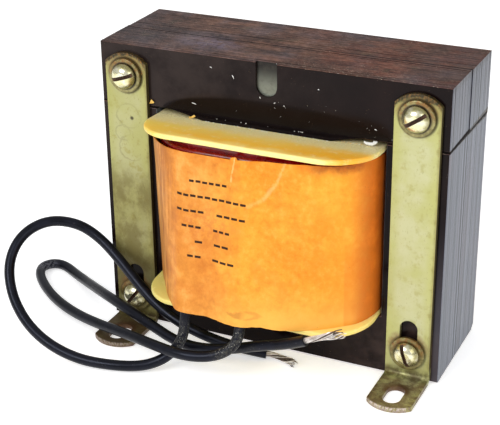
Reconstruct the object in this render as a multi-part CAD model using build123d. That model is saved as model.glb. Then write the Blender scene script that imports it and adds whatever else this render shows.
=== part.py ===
# Open-frame iron-core choke, built like a small mains transformer:
# one winding on a moulded bobbin, an EI lamination stack with an air gap,
# two strap brackets with slotted feet, four through screws, two loose leads.
#
# Frame: millimetres, +Z up. The origin is on the plane under the feet, at the
# middle of the lamination stack. X runs along the width of the core, Y along
# its stack depth, and the leads come out at the front, -Y.
from build123d import *
from math import sin, cos, tan, radians, pi, sqrt, atan2
import os

# ---------------------------------------------------------------- dimensions
# core: a standard EI lamination with a 38.1 mm (1 1/2 in) tongue
TONGUE = 38.1
CORE_W = 3.0 * TONGUE            # 114.3
CORE_D = 38.1                    # stack depth, a square tongue
LEG = TONGUE / 2.0               # yoke and outer legs, 19.05
E_H = 2.0 * TONGUE               # 76.2
I_H = LEG                        # 19.05
GAP = 0.8                        # air gap, filled by the shims
SHIM_INSET = 0.45                # shims end short of the outer faces
CORE_Z0 = 0.4                    # the yoke hangs this far above the feet's plane
BUNDLE_Y = -0.8                  # where the two I bundles meet
REAR_SHIFT = 0.25                # rear I bundle sits this much to the right
NOTCH_W, NOTCH_H, NOTCH_D, NOTCH_X = 6.9, 10.7, 1.1, -0.35
HOLE_X = CORE_W / 2.0 - LEG / 2.0        # 47.625
HOLE_R = 2.4

# screws, washers and nuts, number 8 hardware
SHANK_R = 2.08
HEAD_R, HEAD_H = 4.05, 2.7
SLOT_W, SLOT_D = 1.15, 1.25
SLOT_ANGLES = {(-1, 1): 18.0, (1, 1): 34.0, (1, -1): -71.0, (-1, -1): 53.0}
WASH_R, WASH_T, WASH_ID_R = 5.55, 1.1, 2.3
LOCK_R, LOCK_ID_R, LOCK_T = 3.75, 2.25, 1.1
NUT_AF, NUT_T = 8.73, 3.18
SCREW_L = 50.8

# strap brackets
STRAP_T = 1.6
STRAP_W = 14.3
STRAP_TOP_R = 9.5
STRAP_TOP_Z = 94.1
STRAP_BEND_R = 1.2               # inside radius
STRAP_HOLE_R = 2.45
SLOT_BACK_W = 5.7                # slot in the upright
SLOT_BACK_Z = (7.07, 20.9)
FOOT_REACH = 40.2
FOOT_TIP_R = 9.5
FOOT_SLOT_W, FOOT_SLOT_L, FOOT_SLOT_Y = 5.6, 9.7, 32.55

# bobbin
FL_HALF = 37.5                   # flange half width, both ways
FL_T = 1.7
FL_R = (12.0, 15.5, 13.0, 13.0)  # corner radii: front left, front right, rear right, rear left
FL_BOW_LOW, FL_BOW_TOP = 1.2, 1.0  # how far the overhanging parts have bowed outwards
BOB_Z0, BOB_Z1 = 19.5, 75.6
TUBE_IN, TUBE_OUT = 19.3, 20.9   # half sizes of the square tube
COLLAR = 0.8                     # lip round the tube mouth on the top flange

# winding
WIND_IN, WIND_X, WIND_Y = 20.95, 36.2, 35.0
WIND_R = 19.0
WIND_Z0, WIND_Z1 = 21.3, 73.75

# paper wrap
WRAP_T = 0.45
WRAP_HALF = 37.3
WRAP_BACK = 35.95
WRAP_Z0, WRAP_Z1 = 19.6, 73.8
WRAP_EDGE_LOW, WRAP_EDGE_HIGH = 71.4, 73.45   # top edge, lower at the left

# outer surface of the wrap across the front, (x, y) from left to right
WRAP_LOW = [(-37.15, -20.2), (-36.3, -23.0), (-33.4, -27.3), (-30.6, -31.7), (-27.4, -36.0), (-24.6, -39.2),
            (-21.6, -41.9), (-18.5, -42.5), (-15.5, -42.2), (-12.2, -41.8), (-9.2, -42.1),
            (-5.7, -43.2), (-2.6, -43.9), (0.2, -43.9), (2.9, -43.1), (5.8, -41.6), (8.4, -41.2),
            (10.8, -41.1), (13.5, -40.4), (16.8, -39.1), (22.2, -36.9), (26.95, -33.9), (30.9, -30.9),
            (33.6, -28.5), (35.6, -24.9), (36.85, -21.0)]
WRAP_TOP = [(-37.2, -20.4), (-36.7, -23.6), (-35.0, -28.2), (-31.5, -32.0), (-27.4, -34.6), (-23.1, -35.9),
            (-20.5, -36.2), (-17.8, -36.3), (-14.8, -36.2), (-12.2, -36.1), (-9.7, -36.0),
            (-5.7, -35.85), (-2.6, -35.8), (0.2, -35.75), (3.4, -35.7), (6.6, -35.75), (9.6, -35.8),
            (12.4, -35.9), (15.0, -35.95), (18.0, -35.85), (22.6, -35.2), (27.2, -33.4), (31.5, -30.1),
            (33.8, -27.3), (35.6, -24.1), (36.85, -20.7)]

# leads: rubber-jacketed, stranded conductor
LEAD_D = 3.4
COND_D = 1.9
SLEEVE_D = 3.6
# routes from the sleeve under the wrap to the end of the jacket
LEAD_LEFT = [(-18.9, -39.55, 21.4), (-18.75, -40.9, 17.6), (-18.65, -42, 13.6), (-19.51, -42.75, 9.97),
             (-21.65, -44.52, 6.33), (-25.17, -46.9, 3.47), (-30.77, -49.84, 1.75), (-39.33, -52.82, 1.75),
             (-50.37, -54.54, 2.15), (-61.66, -54.14, 4.75), (-71.73, -51.46, 9.12), (-79.88, -46.72, 15.81),
             (-83.98, -40.99, 24.06), (-82.88, -33.87, 31), (-76.85, -26.76, 34.32), (-68.03, -22.43, 32.87),
             (-60.23, -21.57, 28.6), (-52.03, -23.67, 23.32), (-44.62, -26.06, 17.96), (-36.42, -28.77, 12.74),
             (-27.15, -30.55, 8.8), (-16.99, -30.62, 5.73), (-6.47, -29.18, 3.26), (2.63, -26.6, 1.88)]
LEAD_RIGHT = [(0.35, -40.1, 21.9), (0.5, -41.5, 18.9), (0.65, -43.2, 15.8), (-0.77, -45.05, 13.07),
              (-3.94, -46.82, 10.93), (-9.44, -48.19, 9.35), (-16.97, -49.21, 9.18), (-27.65, -46.78, 8.88),
              (-40.21, -40.98, 6.66), (-52.96, -35.69, 4.22), (-66.45, -29.56, 2.21), (-78.31, -23.23, 1.75),
              (-87.2, -16.5, 1.75), (-93.9, -9.8, 1.75), (-96.8, -4.6, 1.75), (-95.9, -0.9, 1.75),
              (-93.1, 0.9, 1.75), (-88.9, 0.2, 1.75), (-83, -3.4, 1.8), (-75.48, -8.67, 2.93), (-65.82, -16.64, 5.75), (-55.25, -24.87, 8.44), (-44.86, -30.4, 8.86), (-34.54, -33.93, 7.23), (-24.12, -37.03, 5.44), (-14.07, -38.79, 6.14),
              (-3.57, -39.6, 9.08), (6.51, -39.9, 12.89), (16.1, -40.99, 16.17), (22.44, -42.06, 19.58)]
# bare ends, beyond the jackets
BARE_LEFT = [(9.2, -27.0, 1.3), (13.4, -28.4, 1.35)]
BARE_RIGHT = [(30.2, -42.9, 23.4), (35.2, -42.5, 25.4)]
BARE_STRAIGHT = 2.6              # first run of a bare end, in line with its lead
# insulating sleeves over the splices, from the lead's end upwards
SLEEVE_LEFT = [(-18.95, -37.45, 36.5)]
SLEEVE_RIGHT = [(0.3, -37.6, 37.5)]
SLEEVE_STRAIGHT = 2.76           # first run of a sleeve, in line with its lead

os.makedirs("parts", exist_ok=True)


def blk(x0, x1, y0, y1, z0, z1):
    return Pos((x0 + x1) / 2, (y0 + y1) / 2, (z0 + z1) / 2) * Box(x1 - x0, y1 - y0, z1 - z0)


def ycyl(x, z, r, y0, y1):
    """A cylinder along Y from y0 to y1."""
    return Pos(x, (y0 + y1) / 2, z) * Rot(90, 0, 0) * Cylinder(r, y1 - y0)


def save(name, shape):
    solids = shape.solids() if hasattr(shape, "solids") else [s for p in shape for s in p.solids()]
    out = solids[0] if len(solids) == 1 else Compound(children=list(solids))
    out.label = name
    export_step(out, "parts/%s.step" % name)
    print("%-24s %2d solid(s) %10.1f mm3" % (name, len(solids), sum(s.volume for s in solids)))
    return out


# ------------------------------------------------------------------- core
EZ1 = CORE_Z0 + E_H
IZ0 = EZ1 + GAP
IZ1 = IZ0 + I_H
HALF_W, HALF_D = CORE_W / 2, CORE_D / 2
HZ_LOW = CORE_Z0 + LEG / 2
HZ_TOP = IZ0 + LEG / 2

e_core = blk(-HALF_W, HALF_W, -HALF_D, HALF_D, CORE_Z0, EZ1)
for s in (-1, 1):
    x0, x1 = sorted((s * LEG, s * 2 * LEG))
    e_core -= blk(x0, x1, -HALF_D - 1, HALF_D + 1, CORE_Z0 + LEG, EZ1 + 1)
    e_core -= ycyl(s * HOLE_X, HZ_LOW, HOLE_R, -HALF_D - 1, HALF_D + 1)
save("core_e_stack", e_core)

i_front = blk(-HALF_W, HALF_W, -HALF_D, BUNDLE_Y, IZ0, IZ1)
i_rear = blk(-HALF_W + REAR_SHIFT, HALF_W + REAR_SHIFT, BUNDLE_Y, HALF_D, IZ0, IZ1)
for s in (-1, 1):
    hole = ycyl(s * HOLE_X, HZ_TOP, HOLE_R, -HALF_D - 1, HALF_D + 1)
    i_front -= hole
    i_rear -= Pos(REAR_SHIFT, 0, 0) * hole
notch_z = IZ1 - NOTCH_H + NOTCH_W / 2
i_front -= blk(NOTCH_X - NOTCH_W / 2, NOTCH_X + NOTCH_W / 2, -HALF_D - 1, -HALF_D + NOTCH_D, notch_z, IZ1 + 1)
i_front -= ycyl(NOTCH_X, notch_z, NOTCH_W / 2, -HALF_D - 1, -HALF_D + NOTCH_D)
save("core_i_stack_front", i_front)
save("core_i_stack_rear", i_rear)

# one gap shim on each leg
for leg, x0, x1 in (("left", -HALF_W + SHIM_INSET, -2 * LEG - 0.2), ("centre", -LEG + 0.1, LEG - 0.1), ("right", 2 * LEG + 0.2, HALF_W - SHIM_INSET)):
    save("gap_shim_" + leg, blk(x0, x1, -HALF_D + SHIM_INSET, HALF_D - SHIM_INSET, EZ1, IZ0))


# ------------------------------------------------------------------ bobbin
def round_rect(half_x, half_y, radii_):
    """Face of a rectangle with its own radius at each corner: front left,
    front right, rear right, rear left."""
    f = [(-half_x, -half_y), (half_x, -half_y), (half_x, half_y), (-half_x, half_y)]
    sx = [(1, 1), (-1, 1), (-1, -1), (1, -1)]
    edges = []
    ends = []
    for (x, y), (dx, dy), r in zip(f, sx, radii_):
        cx, cy = x + dx * r, y + dy * r
        px, py = (x, cy), (cx, y)              # on the side edge, on the front or rear edge
        first, last = (px, py) if dx * dy > 0 else (py, px)
        k = sqrt(0.5)
        mid = (cx - dx * r * k, cy - dy * r * k)
        ends.append((first, last))
        edges.append(ThreePointArc(first, mid, last))
    for i in range(4):
        a, b = ends[i][1], ends[(i + 1) % 4][0]
        edges.append(Line(a, b))
    return make_face(edges)


def flange(z_in, up, bow):
    """One flange: flat over the core, bowed outwards past its faces.
    z_in is the side towards the winding, up is +1 for the top flange."""
    z_out = z_in + up * FL_T
    pts = [(-FL_HALF - 1, z_in + up * bow * 1.05), (-HALF_D, z_in), (HALF_D, z_in), (FL_HALF + 1, z_in + up * bow * 1.05),
           (FL_HALF + 1, z_out + up * bow * 1.05), (HALF_D, z_out), (-HALF_D, z_out), (-FL_HALF - 1, z_out + up * bow * 1.05)]
    prof = Plane.YZ * make_face(Polyline(*pts, close=True))
    slab = extrude(prof, FL_HALF + 1, both=True)
    outline = Pos(0, 0, z_in - 10) * extrude(round_rect(FL_HALF, FL_HALF, FL_R), 20)
    return slab & outline


low_fl = flange(BOB_Z0 + FL_T, -1, FL_BOW_LOW)
top_fl = flange(BOB_Z1 - FL_T, 1, FL_BOW_TOP)
tube = blk(-TUBE_OUT, TUBE_OUT, -TUBE_OUT, TUBE_OUT, BOB_Z0, BOB_Z1)
collar = blk(-TUBE_OUT + 0.4, TUBE_OUT - 0.4, -TUBE_OUT + 0.4, TUBE_OUT - 0.4, BOB_Z1 - 0.5, BOB_Z1 + COLLAR)
bobbin = low_fl + top_fl + tube + collar
bobbin -= blk(-TUBE_IN, TUBE_IN, -TUBE_IN, TUBE_IN, BOB_Z0 - 5, BOB_Z1 + 5)
save("bobbin", bobbin)

# ----------------------------------------------------------------- winding
ring = Pos(0, 0, WIND_Z0) * extrude(round_rect(WIND_X, WIND_Y, (WIND_R,) * 4), WIND_Z1 - WIND_Z0)
ring -= blk(-WIND_IN, WIND_IN, -WIND_IN, WIND_IN, WIND_Z0 - 1, WIND_Z1 + 1)


# ---------------------------------------------------------- tubes and leads
def tube_along(pts, dia, label):
    """A round solid along straight runs joined by tangent arcs. Each arc is as
    large as its two runs allow."""
    v = [Vector(*p) for p in pts]
    rad = []
    for a, b, c in zip(v, v[1:], v[2:]):
        turn = (b - a).get_angle(c - b)
        rad.append(0.45 * min((b - a).length, (c - b).length) / tan(radians(turn) / 2))
    path = FilletPolyline(*pts, radius=rad)
    t = path % 0
    sec = Plane(origin=path @ 0, z_dir=t) * Circle(dia / 2)
    body = sweep(sec, path=path)
    want = path.length * pi * dia * dia / 4
    print("%s: length %.1f, volume %.1f of %.1f, radii %s" % (
        label, path.length, body.volume, want, " ".join("%.1f" % r for r in rad)))
    return body


def beyond(a, b, d):
    """The point on the line from a to b, a distance d past b."""
    a, b = Vector(*a), Vector(*b)
    return tuple(b + (b - a).normalized() * d)


SLEEVE_LEFT.insert(0, beyond(LEAD_LEFT[1], LEAD_LEFT[0], SLEEVE_STRAIGHT))
SLEEVE_RIGHT.insert(0, beyond(LEAD_RIGHT[1], LEAD_RIGHT[0], SLEEVE_STRAIGHT))
BARE_LEFT.insert(0, beyond(LEAD_LEFT[-2], LEAD_LEFT[-1], BARE_STRAIGHT))
BARE_RIGHT.insert(0, beyond(LEAD_RIGHT[-2], LEAD_RIGHT[-1], BARE_STRAIGHT))
lead_left = tube_along(LEAD_LEFT, LEAD_D, "lead_left_jacket")
lead_right = tube_along(LEAD_RIGHT, LEAD_D, "lead_right_jacket")
cond_left = tube_along([LEAD_LEFT[-1]] + BARE_LEFT, COND_D, "lead_left_conductor")
cond_right = tube_along([LEAD_RIGHT[-1]] + BARE_RIGHT, COND_D, "lead_right_conductor")
sleeve_left = tube_along([LEAD_LEFT[0]] + SLEEVE_LEFT, SLEEVE_D, "splice_sleeve_left")
sleeve_right = tube_along([LEAD_RIGHT[0]] + SLEEVE_RIGHT, SLEEVE_D, "splice_sleeve_right")
save("lead_left_jacket", lead_left)
save("lead_right_jacket", lead_right)
save("lead_left_conductor", cond_left)
save("lead_right_conductor", cond_right)
save("splice_sleeve_left", sleeve_left)
save("splice_sleeve_right", sleeve_right)

# the two ends of the winding wire run from the sleeves into the coil
for sl in (SLEEVE_LEFT, SLEEVE_RIGHT):
    a, b = Vector(*sl[0]), Vector(*sl[1])
    d = (b - a).normalized()
    top = b + d * 0.02
    p1 = top + d * 3.0
    p2 = Vector(p1.X, -WIND_Y + 1.0, p1.Z + 3.2)
    ring += tube_along([tuple(top), tuple(p1), tuple(p2)], 1.9, "winding end")
save("winding", ring)


# ------------------------------------------------------------------- wrap
# both ends of the loft share one spacing along the front, so that its rulings
# join matching points
_l = [(-WRAP_HALF, -18.0)] + WRAP_LOW + [(WRAP_HALF, -18.0)]
_t = [(-WRAP_HALF, -18.0)] + WRAP_TOP + [(WRAP_HALF, -18.0)]
_s = [0.0]
for i in range(1, len(_l)):
    _s.append(_s[-1] + 0.5 * sqrt((_l[i][0] - _l[i - 1][0]) ** 2 + (_l[i][1] - _l[i - 1][1]) ** 2)
              + 0.5 * sqrt((_t[i][0] - _t[i - 1][0]) ** 2 + (_t[i][1] - _t[i - 1][1]) ** 2))
WRAP_PARAM = [v / _s[-1] for v in _s]


def wrap_outline(front, inset, z):
    """Closed face of the wrap's outline at height z, moved inwards by inset."""
    pts = [(-WRAP_HALF, -18.0)] + list(front) + [(WRAP_HALF, -18.0)]
    moved = []
    for i, (x, y) in enumerate(pts):
        if i in (0, len(pts) - 1):
            tx, ty = (0.0, -1.0) if i == 0 else (0.0, 1.0)
        else:
            tx, ty = pts[i + 1][0] - pts[i - 1][0], pts[i + 1][1] - pts[i - 1][1]
        n = sqrt(tx * tx + ty * ty)
        tx, ty = tx / n, ty / n
        moved.append((x - ty * inset, y + tx * inset))     # inwards is to the left of travel
    sp = Edge.make_spline([Vector(x, y, 0) for x, y in moved], parameters=WRAP_PARAM)
    hx, hb, r = WRAP_HALF - inset, WRAP_BACK - inset, WIND_R + 0.9 - inset
    k = sqrt(0.5)
    a, b = sp @ 1, sp @ 0
    edges = [sp,
             Line(a, (hx, hb - r)),
             ThreePointArc((hx, hb - r), (hx - r + r * k, hb - r + r * k), (hx - r, hb)),
             Line((hx - r, hb), (-hx + r, hb)),
             ThreePointArc((-hx + r, hb), (-hx + r - r * k, hb - r + r * k), (-hx, hb - r)),
             Line((-hx, hb - r), b)]
    return Pos(0, 0, z) * make_face(edges)


outer = loft([wrap_outline(WRAP_LOW, 0, WRAP_Z0), wrap_outline(WRAP_TOP, 0, WRAP_Z1)], ruled=True)
inner = loft([wrap_outline(WRAP_LOW, WRAP_T, WRAP_Z0), wrap_outline(WRAP_TOP, WRAP_T, WRAP_Z1)], ruled=True)
wrap = outer - inner
# lower edge: on the flange all round, except where it hangs over the flange in front
pts = [(-FL_HALF - 2, BOB_Z0 + FL_T + 0.08 - FL_BOW_LOW * 1.11), (-HALF_D, BOB_Z0 + FL_T + 0.08), (HALF_D, BOB_Z0 + FL_T + 0.08),
       (FL_HALF + 2, BOB_Z0 + FL_T + 0.08 - FL_BOW_LOW * 1.11), (FL_HALF + 2, 5), (-FL_HALF - 2, 5)]
under = extrude(Plane.YZ * make_face(Polyline(*pts, close=True)), FL_HALF + 3, both=True)
under &= extrude(round_rect(FL_HALF + 0.2, FL_HALF + 0.2, FL_R), 60)
wrap -= under
# top edge: a little below the flange at the left, up against it at the right
over = make_face(Polyline((-60, WRAP_EDGE_LOW), (-5, WRAP_EDGE_LOW), (20, WRAP_EDGE_HIGH), (60, WRAP_EDGE_HIGH), (60, 90), (-60, 90), close=True))
wrap -= extrude(Plane.XZ * over, 60, both=True)
save("outer_wrap", wrap)


# --------------------------------------------------------------- brackets
def strap():
    """A front strap at x = 0: an upright on the core's face and a foot that
    turns forwards, in one bent strip."""
    yb = -HALF_D
    yf = yb - STRAP_T
    ro = STRAP_BEND_R + STRAP_T
    k = sqrt(0.5)
    prof = [
        Line((yb, STRAP_TOP_Z), (yf, STRAP_TOP_Z)),
        Line((yf, STRAP_TOP_Z), (yf, ro)),
        ThreePointArc((yf, ro), (yf - STRAP_BEND_R + STRAP_BEND_R * k, ro - STRAP_BEND_R * k), (yf - STRAP_BEND_R, STRAP_T)),
        Line((yf - STRAP_BEND_R, STRAP_T), (-FOOT_REACH, STRAP_T)),
        Line((-FOOT_REACH, STRAP_T), (-FOOT_REACH, 0)),
        Line((-FOOT_REACH, 0), (yf - STRAP_BEND_R, 0)),
        ThreePointArc((yf - STRAP_BEND_R, 0), (yf - STRAP_BEND_R + ro * k, ro - ro * k), (yb, ro)),
        Line((yb, ro), (yb, STRAP_TOP_Z)),
    ]
    strip = extrude(Plane.YZ * make_face(prof), STRAP_W / 2, both=True)
    # rounded upper end
    up = extrude(Plane.XZ * make_face([
        Line((-STRAP_W / 2, -5), (STRAP_W / 2, -5)),
        Line((STRAP_W / 2, -5), (STRAP_W / 2, STRAP_TOP_Z - STRAP_TOP_R + sqrt(STRAP_TOP_R ** 2 - STRAP_W ** 2 / 4))),
        ThreePointArc((STRAP_W / 2, STRAP_TOP_Z - STRAP_TOP_R + sqrt(STRAP_TOP_R ** 2 - STRAP_W ** 2 / 4)), (0, STRAP_TOP_Z),
                      (-STRAP_W / 2, STRAP_TOP_Z - STRAP_TOP_R + sqrt(STRAP_TOP_R ** 2 - STRAP_W ** 2 / 4))),
        Line((-STRAP_W / 2, STRAP_TOP_Z - STRAP_TOP_R + sqrt(STRAP_TOP_R ** 2 - STRAP_W ** 2 / 4)), (-STRAP_W / 2, -5)),
    ]), 60, both=True)
    strip &= up
    # rounded foot
    yc = -FOOT_REACH + FOOT_TIP_R - sqrt(FOOT_TIP_R ** 2 - STRAP_W ** 2 / 4)
    foot = extrude(make_face([
        Line((STRAP_W / 2, 0), (-STRAP_W / 2, 0)),
        Line((-STRAP_W / 2, 0), (-STRAP_W / 2, yc)),
        ThreePointArc((-STRAP_W / 2, yc), (0, -FOOT_REACH), (STRAP_W / 2, yc)),
        Line((STRAP_W / 2, yc), (STRAP_W / 2, 0)),
    ]), 120)
    strip &= Pos(0, 0, -1) * foot
    # round hole above, slot below, slot in the foot
    strip -= ycyl(0, HZ_TOP, STRAP_HOLE_R, -60, 0)
    z0, z1 = SLOT_BACK_Z
    r = SLOT_BACK_W / 2
    strip -= blk(-r, r, -HALF_D - 5, -HALF_D + 5, z0 + r, z1 - r)
    strip -= ycyl(0, z0 + r, r, -HALF_D - 2.5, -HALF_D + 5)
    strip -= ycyl(0, z1 - r, r, -HALF_D - 2.5, -HALF_D + 5)
    r, h = FOOT_SLOT_W / 2, FOOT_SLOT_L / 2
    strip -= blk(-r, r, -FOOT_SLOT_Y - h + r, -FOOT_SLOT_Y + h - r, -1, 5)
    for s in (-1, 1):
        strip -= Pos(0, -FOOT_SLOT_Y + s * (h - r), 0) * Cylinder(r, 10)
    return strip


one = strap()
save("bracket_front_left", Pos(-HOLE_X, 0, 0) * one)
save("bracket_front_right", Pos(HOLE_X, 0, 0) * one)

# ---------------------------------------------------------------- fasteners
Y_FACE = -HALF_D - STRAP_T                 # front of the straps
Y_HEAD = Y_FACE - WASH_T                   # under the heads


def screw(angle):
    """A slotted pan head screw along +Y with the underside of its head at y = 0."""
    prof = make_face([
        Line((0, 0), (HEAD_R - 0.25, 0)),
        ThreePointArc((HEAD_R - 0.25, 0), (HEAD_R, -0.45), (HEAD_R - 0.12, -0.95)),
        ThreePointArc((HEAD_R - 0.12, -0.95), (HEAD_R - 1.1, -2.1), (HEAD_R - 2.4, -HEAD_H)),
        Line((HEAD_R - 2.4, -HEAD_H), (0, -HEAD_H)),
        Line((0, -HEAD_H), (0, 0)),
    ])
    head = revolve(prof, Axis((0, 0, 0), (0, 1, 0)), 360)
    slot = Pos(0, -HEAD_H + SLOT_D / 2 - 0.5, 0) * Box(HEAD_R * 3, SLOT_D + 1.0, SLOT_W)
    head -= Rot(0, -angle, 0) * slot
    shank = ycyl(0, 0, SHANK_R, -0.5, SCREW_L - 0.6)
    tip = Pos(0, SCREW_L - 0.3, 0) * Rot(-90, 0, 0) * Cone(SHANK_R, SHANK_R - 0.6, 0.6)
    return head + shank + tip


screws, flats, locks, nuts = [], [], [], []
for (sx, sz), ang in SLOT_ANGLES.items():
    x, z = sx * HOLE_X, HZ_TOP if sz > 0 else HZ_LOW
    screws.append((Pos(x, Y_HEAD, z) * screw(ang)).solids()[0])
    # one flat washer under the head, one on the core's rear face under the lock washer and nut
    for y0 in (Y_HEAD, HALF_D):
        flats.append((ycyl(x, z, WASH_R, y0, y0 + WASH_T) - ycyl(x, z, WASH_ID_R, y0 - 1, y0 + WASH_T + 1)).solids()[0])
    y0 = HALF_D + WASH_T
    ringw = ycyl(x, z, LOCK_R, y0, y0 + LOCK_T) - ycyl(x, z, LOCK_ID_R, y0 - 1, y0 + LOCK_T + 1)
    ringw -= Pos(x, y0 + LOCK_T / 2, z + 3.0) * Rot(0, 0, 35) * Box(0.7, 6, 3.2)
    locks.append(ringw.solids()[0])
    y0 += LOCK_T
    hexa = extrude(Plane.XZ * RegularPolygon(NUT_AF / 2, 6, major_radius=False), -NUT_T)
    nut = Pos(x, y0, z) * hexa
    nut -= ycyl(x, z, SHANK_R + 0.03, y0 - 1, y0 + NUT_T + 1)
    nuts.append(nut.solids()[0])
save("clamp_screws", Compound(children=screws))
save("flat_washers", Compound(children=flats))
save("lock_washers", Compound(children=locks))
save("hex_nuts", Compound(children=nuts))
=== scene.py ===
import bpy, bmesh, math, random
from mathutils import Vector, Matrix, noise, geometry


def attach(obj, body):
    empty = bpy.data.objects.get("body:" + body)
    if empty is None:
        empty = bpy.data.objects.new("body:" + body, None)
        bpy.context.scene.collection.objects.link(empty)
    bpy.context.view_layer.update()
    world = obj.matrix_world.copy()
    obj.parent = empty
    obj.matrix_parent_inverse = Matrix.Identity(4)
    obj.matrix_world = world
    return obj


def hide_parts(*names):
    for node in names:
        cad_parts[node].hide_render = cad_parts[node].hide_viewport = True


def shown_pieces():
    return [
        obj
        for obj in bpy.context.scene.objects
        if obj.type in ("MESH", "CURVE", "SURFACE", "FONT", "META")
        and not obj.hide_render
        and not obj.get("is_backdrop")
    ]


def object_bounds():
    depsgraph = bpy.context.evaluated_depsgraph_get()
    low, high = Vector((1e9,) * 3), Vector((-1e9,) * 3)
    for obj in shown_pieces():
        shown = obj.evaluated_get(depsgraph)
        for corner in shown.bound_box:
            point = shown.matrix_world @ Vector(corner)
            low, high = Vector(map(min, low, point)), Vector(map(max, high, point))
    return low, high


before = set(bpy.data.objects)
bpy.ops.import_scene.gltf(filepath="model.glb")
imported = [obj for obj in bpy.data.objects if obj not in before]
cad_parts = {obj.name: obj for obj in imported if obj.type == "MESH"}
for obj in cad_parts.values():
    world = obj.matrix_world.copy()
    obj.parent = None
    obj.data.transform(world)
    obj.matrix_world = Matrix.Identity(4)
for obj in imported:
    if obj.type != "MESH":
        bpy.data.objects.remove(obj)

CAD_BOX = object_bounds()
MM = 0.001

# ------------------------------------------------------------------ camera
AZ, EL, ROLL = math.radians(25.2478), math.radians(24.857), math.radians(-0.6993)
back = Vector((math.sin(AZ) * math.cos(EL), -math.cos(AZ) * math.cos(EL), math.sin(EL)))
right = Vector((math.cos(AZ), math.sin(AZ), 0))
up = back.cross(right)
r2 = right * math.cos(ROLL) + up * math.sin(ROLL)
u2 = -right * math.sin(ROLL) + up * math.cos(ROLL)
cam_data = bpy.data.cameras.new("cam")
cam_data.sensor_fit = "HORIZONTAL"
cam_data.sensor_width = 36.0
cam_data.lens = 1351.24 / 500.0 * 36.0
cam_data.clip_start, cam_data.clip_end = 0.01, 20.0
cam = bpy.data.objects.new("cam", cam_data)
bpy.context.scene.collection.objects.link(cam)
m = Matrix.Identity(4)
for i, v in enumerate((r2, u2, back)):
    for j in range(3):
        m[j][i] = v[j]
loc = Vector((0.1574437, -0.3660737, 0.2244788))
for j in range(3):
    m[j][3] = loc[j]
cam.matrix_world = m
bpy.context.scene.camera = cam
bpy.context.scene.view_settings.view_transform = "Standard"
bpy.context.scene.view_settings.look = "None"

# ------------------------------------------------------------------- leads
LEAD_D = 3.4
LEAD_LEFT = [(-18.9, -39.55, 21.4), (-18.75, -40.9, 17.6), (-18.65, -42, 13.6), (-19.51, -42.75, 9.97),
             (-21.65, -44.52, 6.33), (-25.17, -46.9, 3.47), (-30.77, -49.84, 1.75), (-39.33, -52.82, 1.75),
             (-50.37, -54.54, 2.15), (-61.66, -54.14, 4.75), (-71.73, -51.46, 9.12), (-79.88, -46.72, 15.81),
             (-83.98, -40.99, 24.06), (-82.88, -33.87, 31), (-76.85, -26.76, 34.32), (-68.03, -22.43, 32.87),
             (-60.23, -21.57, 28.6), (-52.03, -23.67, 23.32), (-44.62, -26.06, 17.96), (-36.42, -28.77, 12.74),
             (-27.15, -30.55, 8.8), (-16.99, -30.62, 5.73), (-6.47, -29.18, 3.26), (2.63, -26.6, 1.88)]
LEAD_RIGHT = [(0.35, -40.1, 21.9), (0.5, -41.5, 18.9), (0.65, -43.2, 15.8), (-0.77, -45.05, 13.07),
              (-3.94, -46.82, 10.93), (-9.44, -48.19, 9.35), (-16.97, -49.21, 9.18), (-27.65, -46.78, 8.88),
              (-40.21, -40.98, 6.66), (-52.96, -35.69, 4.22), (-66.45, -29.56, 2.21), (-78.31, -23.23, 1.75),
              (-87.2, -16.5, 1.75), (-93.9, -9.8, 1.75), (-96.8, -4.6, 1.75), (-95.9, -0.9, 1.75),
              (-93.1, 0.9, 1.75), (-88.9, 0.2, 1.75), (-83, -3.4, 1.8), (-75.48, -8.67, 2.93), (-65.82, -16.64, 5.75),
              (-55.25, -24.87, 8.44), (-44.86, -30.4, 8.86), (-34.54, -33.93, 7.23), (-24.12, -37.03, 5.44),
              (-14.07, -38.79, 6.14), (-3.57, -39.6, 9.08), (6.51, -39.9, 12.89), (16.1, -40.99, 16.17),
              (22.44, -42.06, 19.58)]


def nurbs(name, pts, radius, res=12, bevel_res=7):
    cu = bpy.data.curves.new(name, "CURVE")
    cu.dimensions = "3D"
    sp = cu.splines.new("NURBS")
    sp.points.add(len(pts) - 1)
    for p, q in zip(sp.points, pts):
        p.co = (q[0] * MM, q[1] * MM, q[2] * MM, 1.0)
        p.radius = max(radius, 0.01) * MM
    sp.order_u = 3
    sp.use_endpoint_u = True
    sp.resolution_u = res
    # the surface stands bevel_depth times a point's radius off the line; a point's radius also widens the curve's box, so it holds the real size
    cu.bevel_depth = 1.0 if radius else 0.0
    cu.bevel_resolution = bevel_res
    cu.use_fill_caps = True
    ob = bpy.data.objects.new(name, cu)
    bpy.context.scene.collection.objects.link(ob)
    return ob


def route_points(pts):
    """Points along the smooth line itself, read from a curve with no bevel."""
    ob = nurbs("tmp_route", pts, 0.0, res=24)
    bpy.context.view_layer.update()
    me = bpy.data.meshes.new_from_object(ob)
    out = [v.co.copy() for v in me.vertices]
    bpy.data.meshes.remove(me)
    cu = ob.data
    bpy.data.objects.remove(ob)
    bpy.data.curves.remove(cu)
    return out


def length(p):
    return sum((b - a).length for a, b in zip(p, p[1:]))


line_left, line_right = route_points(LEAD_LEFT), route_points(LEAD_RIGHT)
lead_left = nurbs("lead_left_jacket_visual", LEAD_LEFT, LEAD_D / 2)
lead_right = nurbs("lead_right_jacket_visual", LEAD_RIGHT, LEAD_D / 2)
for ob, node in ((lead_left, "lead_left_jacket"), (lead_right, "lead_right_jacket")):
    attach(ob, "root")
    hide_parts(node)

# --------------------------------------------------------------- materials
def lin(r, g, b):
    """Display values 0-255 to a linear colour."""
    out = []
    for c in (r, g, b):
        c /= 255.0
        out.append(c / 12.92 if c <= 0.04045 else ((c + 0.055) / 1.055) ** 2.4)
    return tuple(out) + (1.0,)


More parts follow.
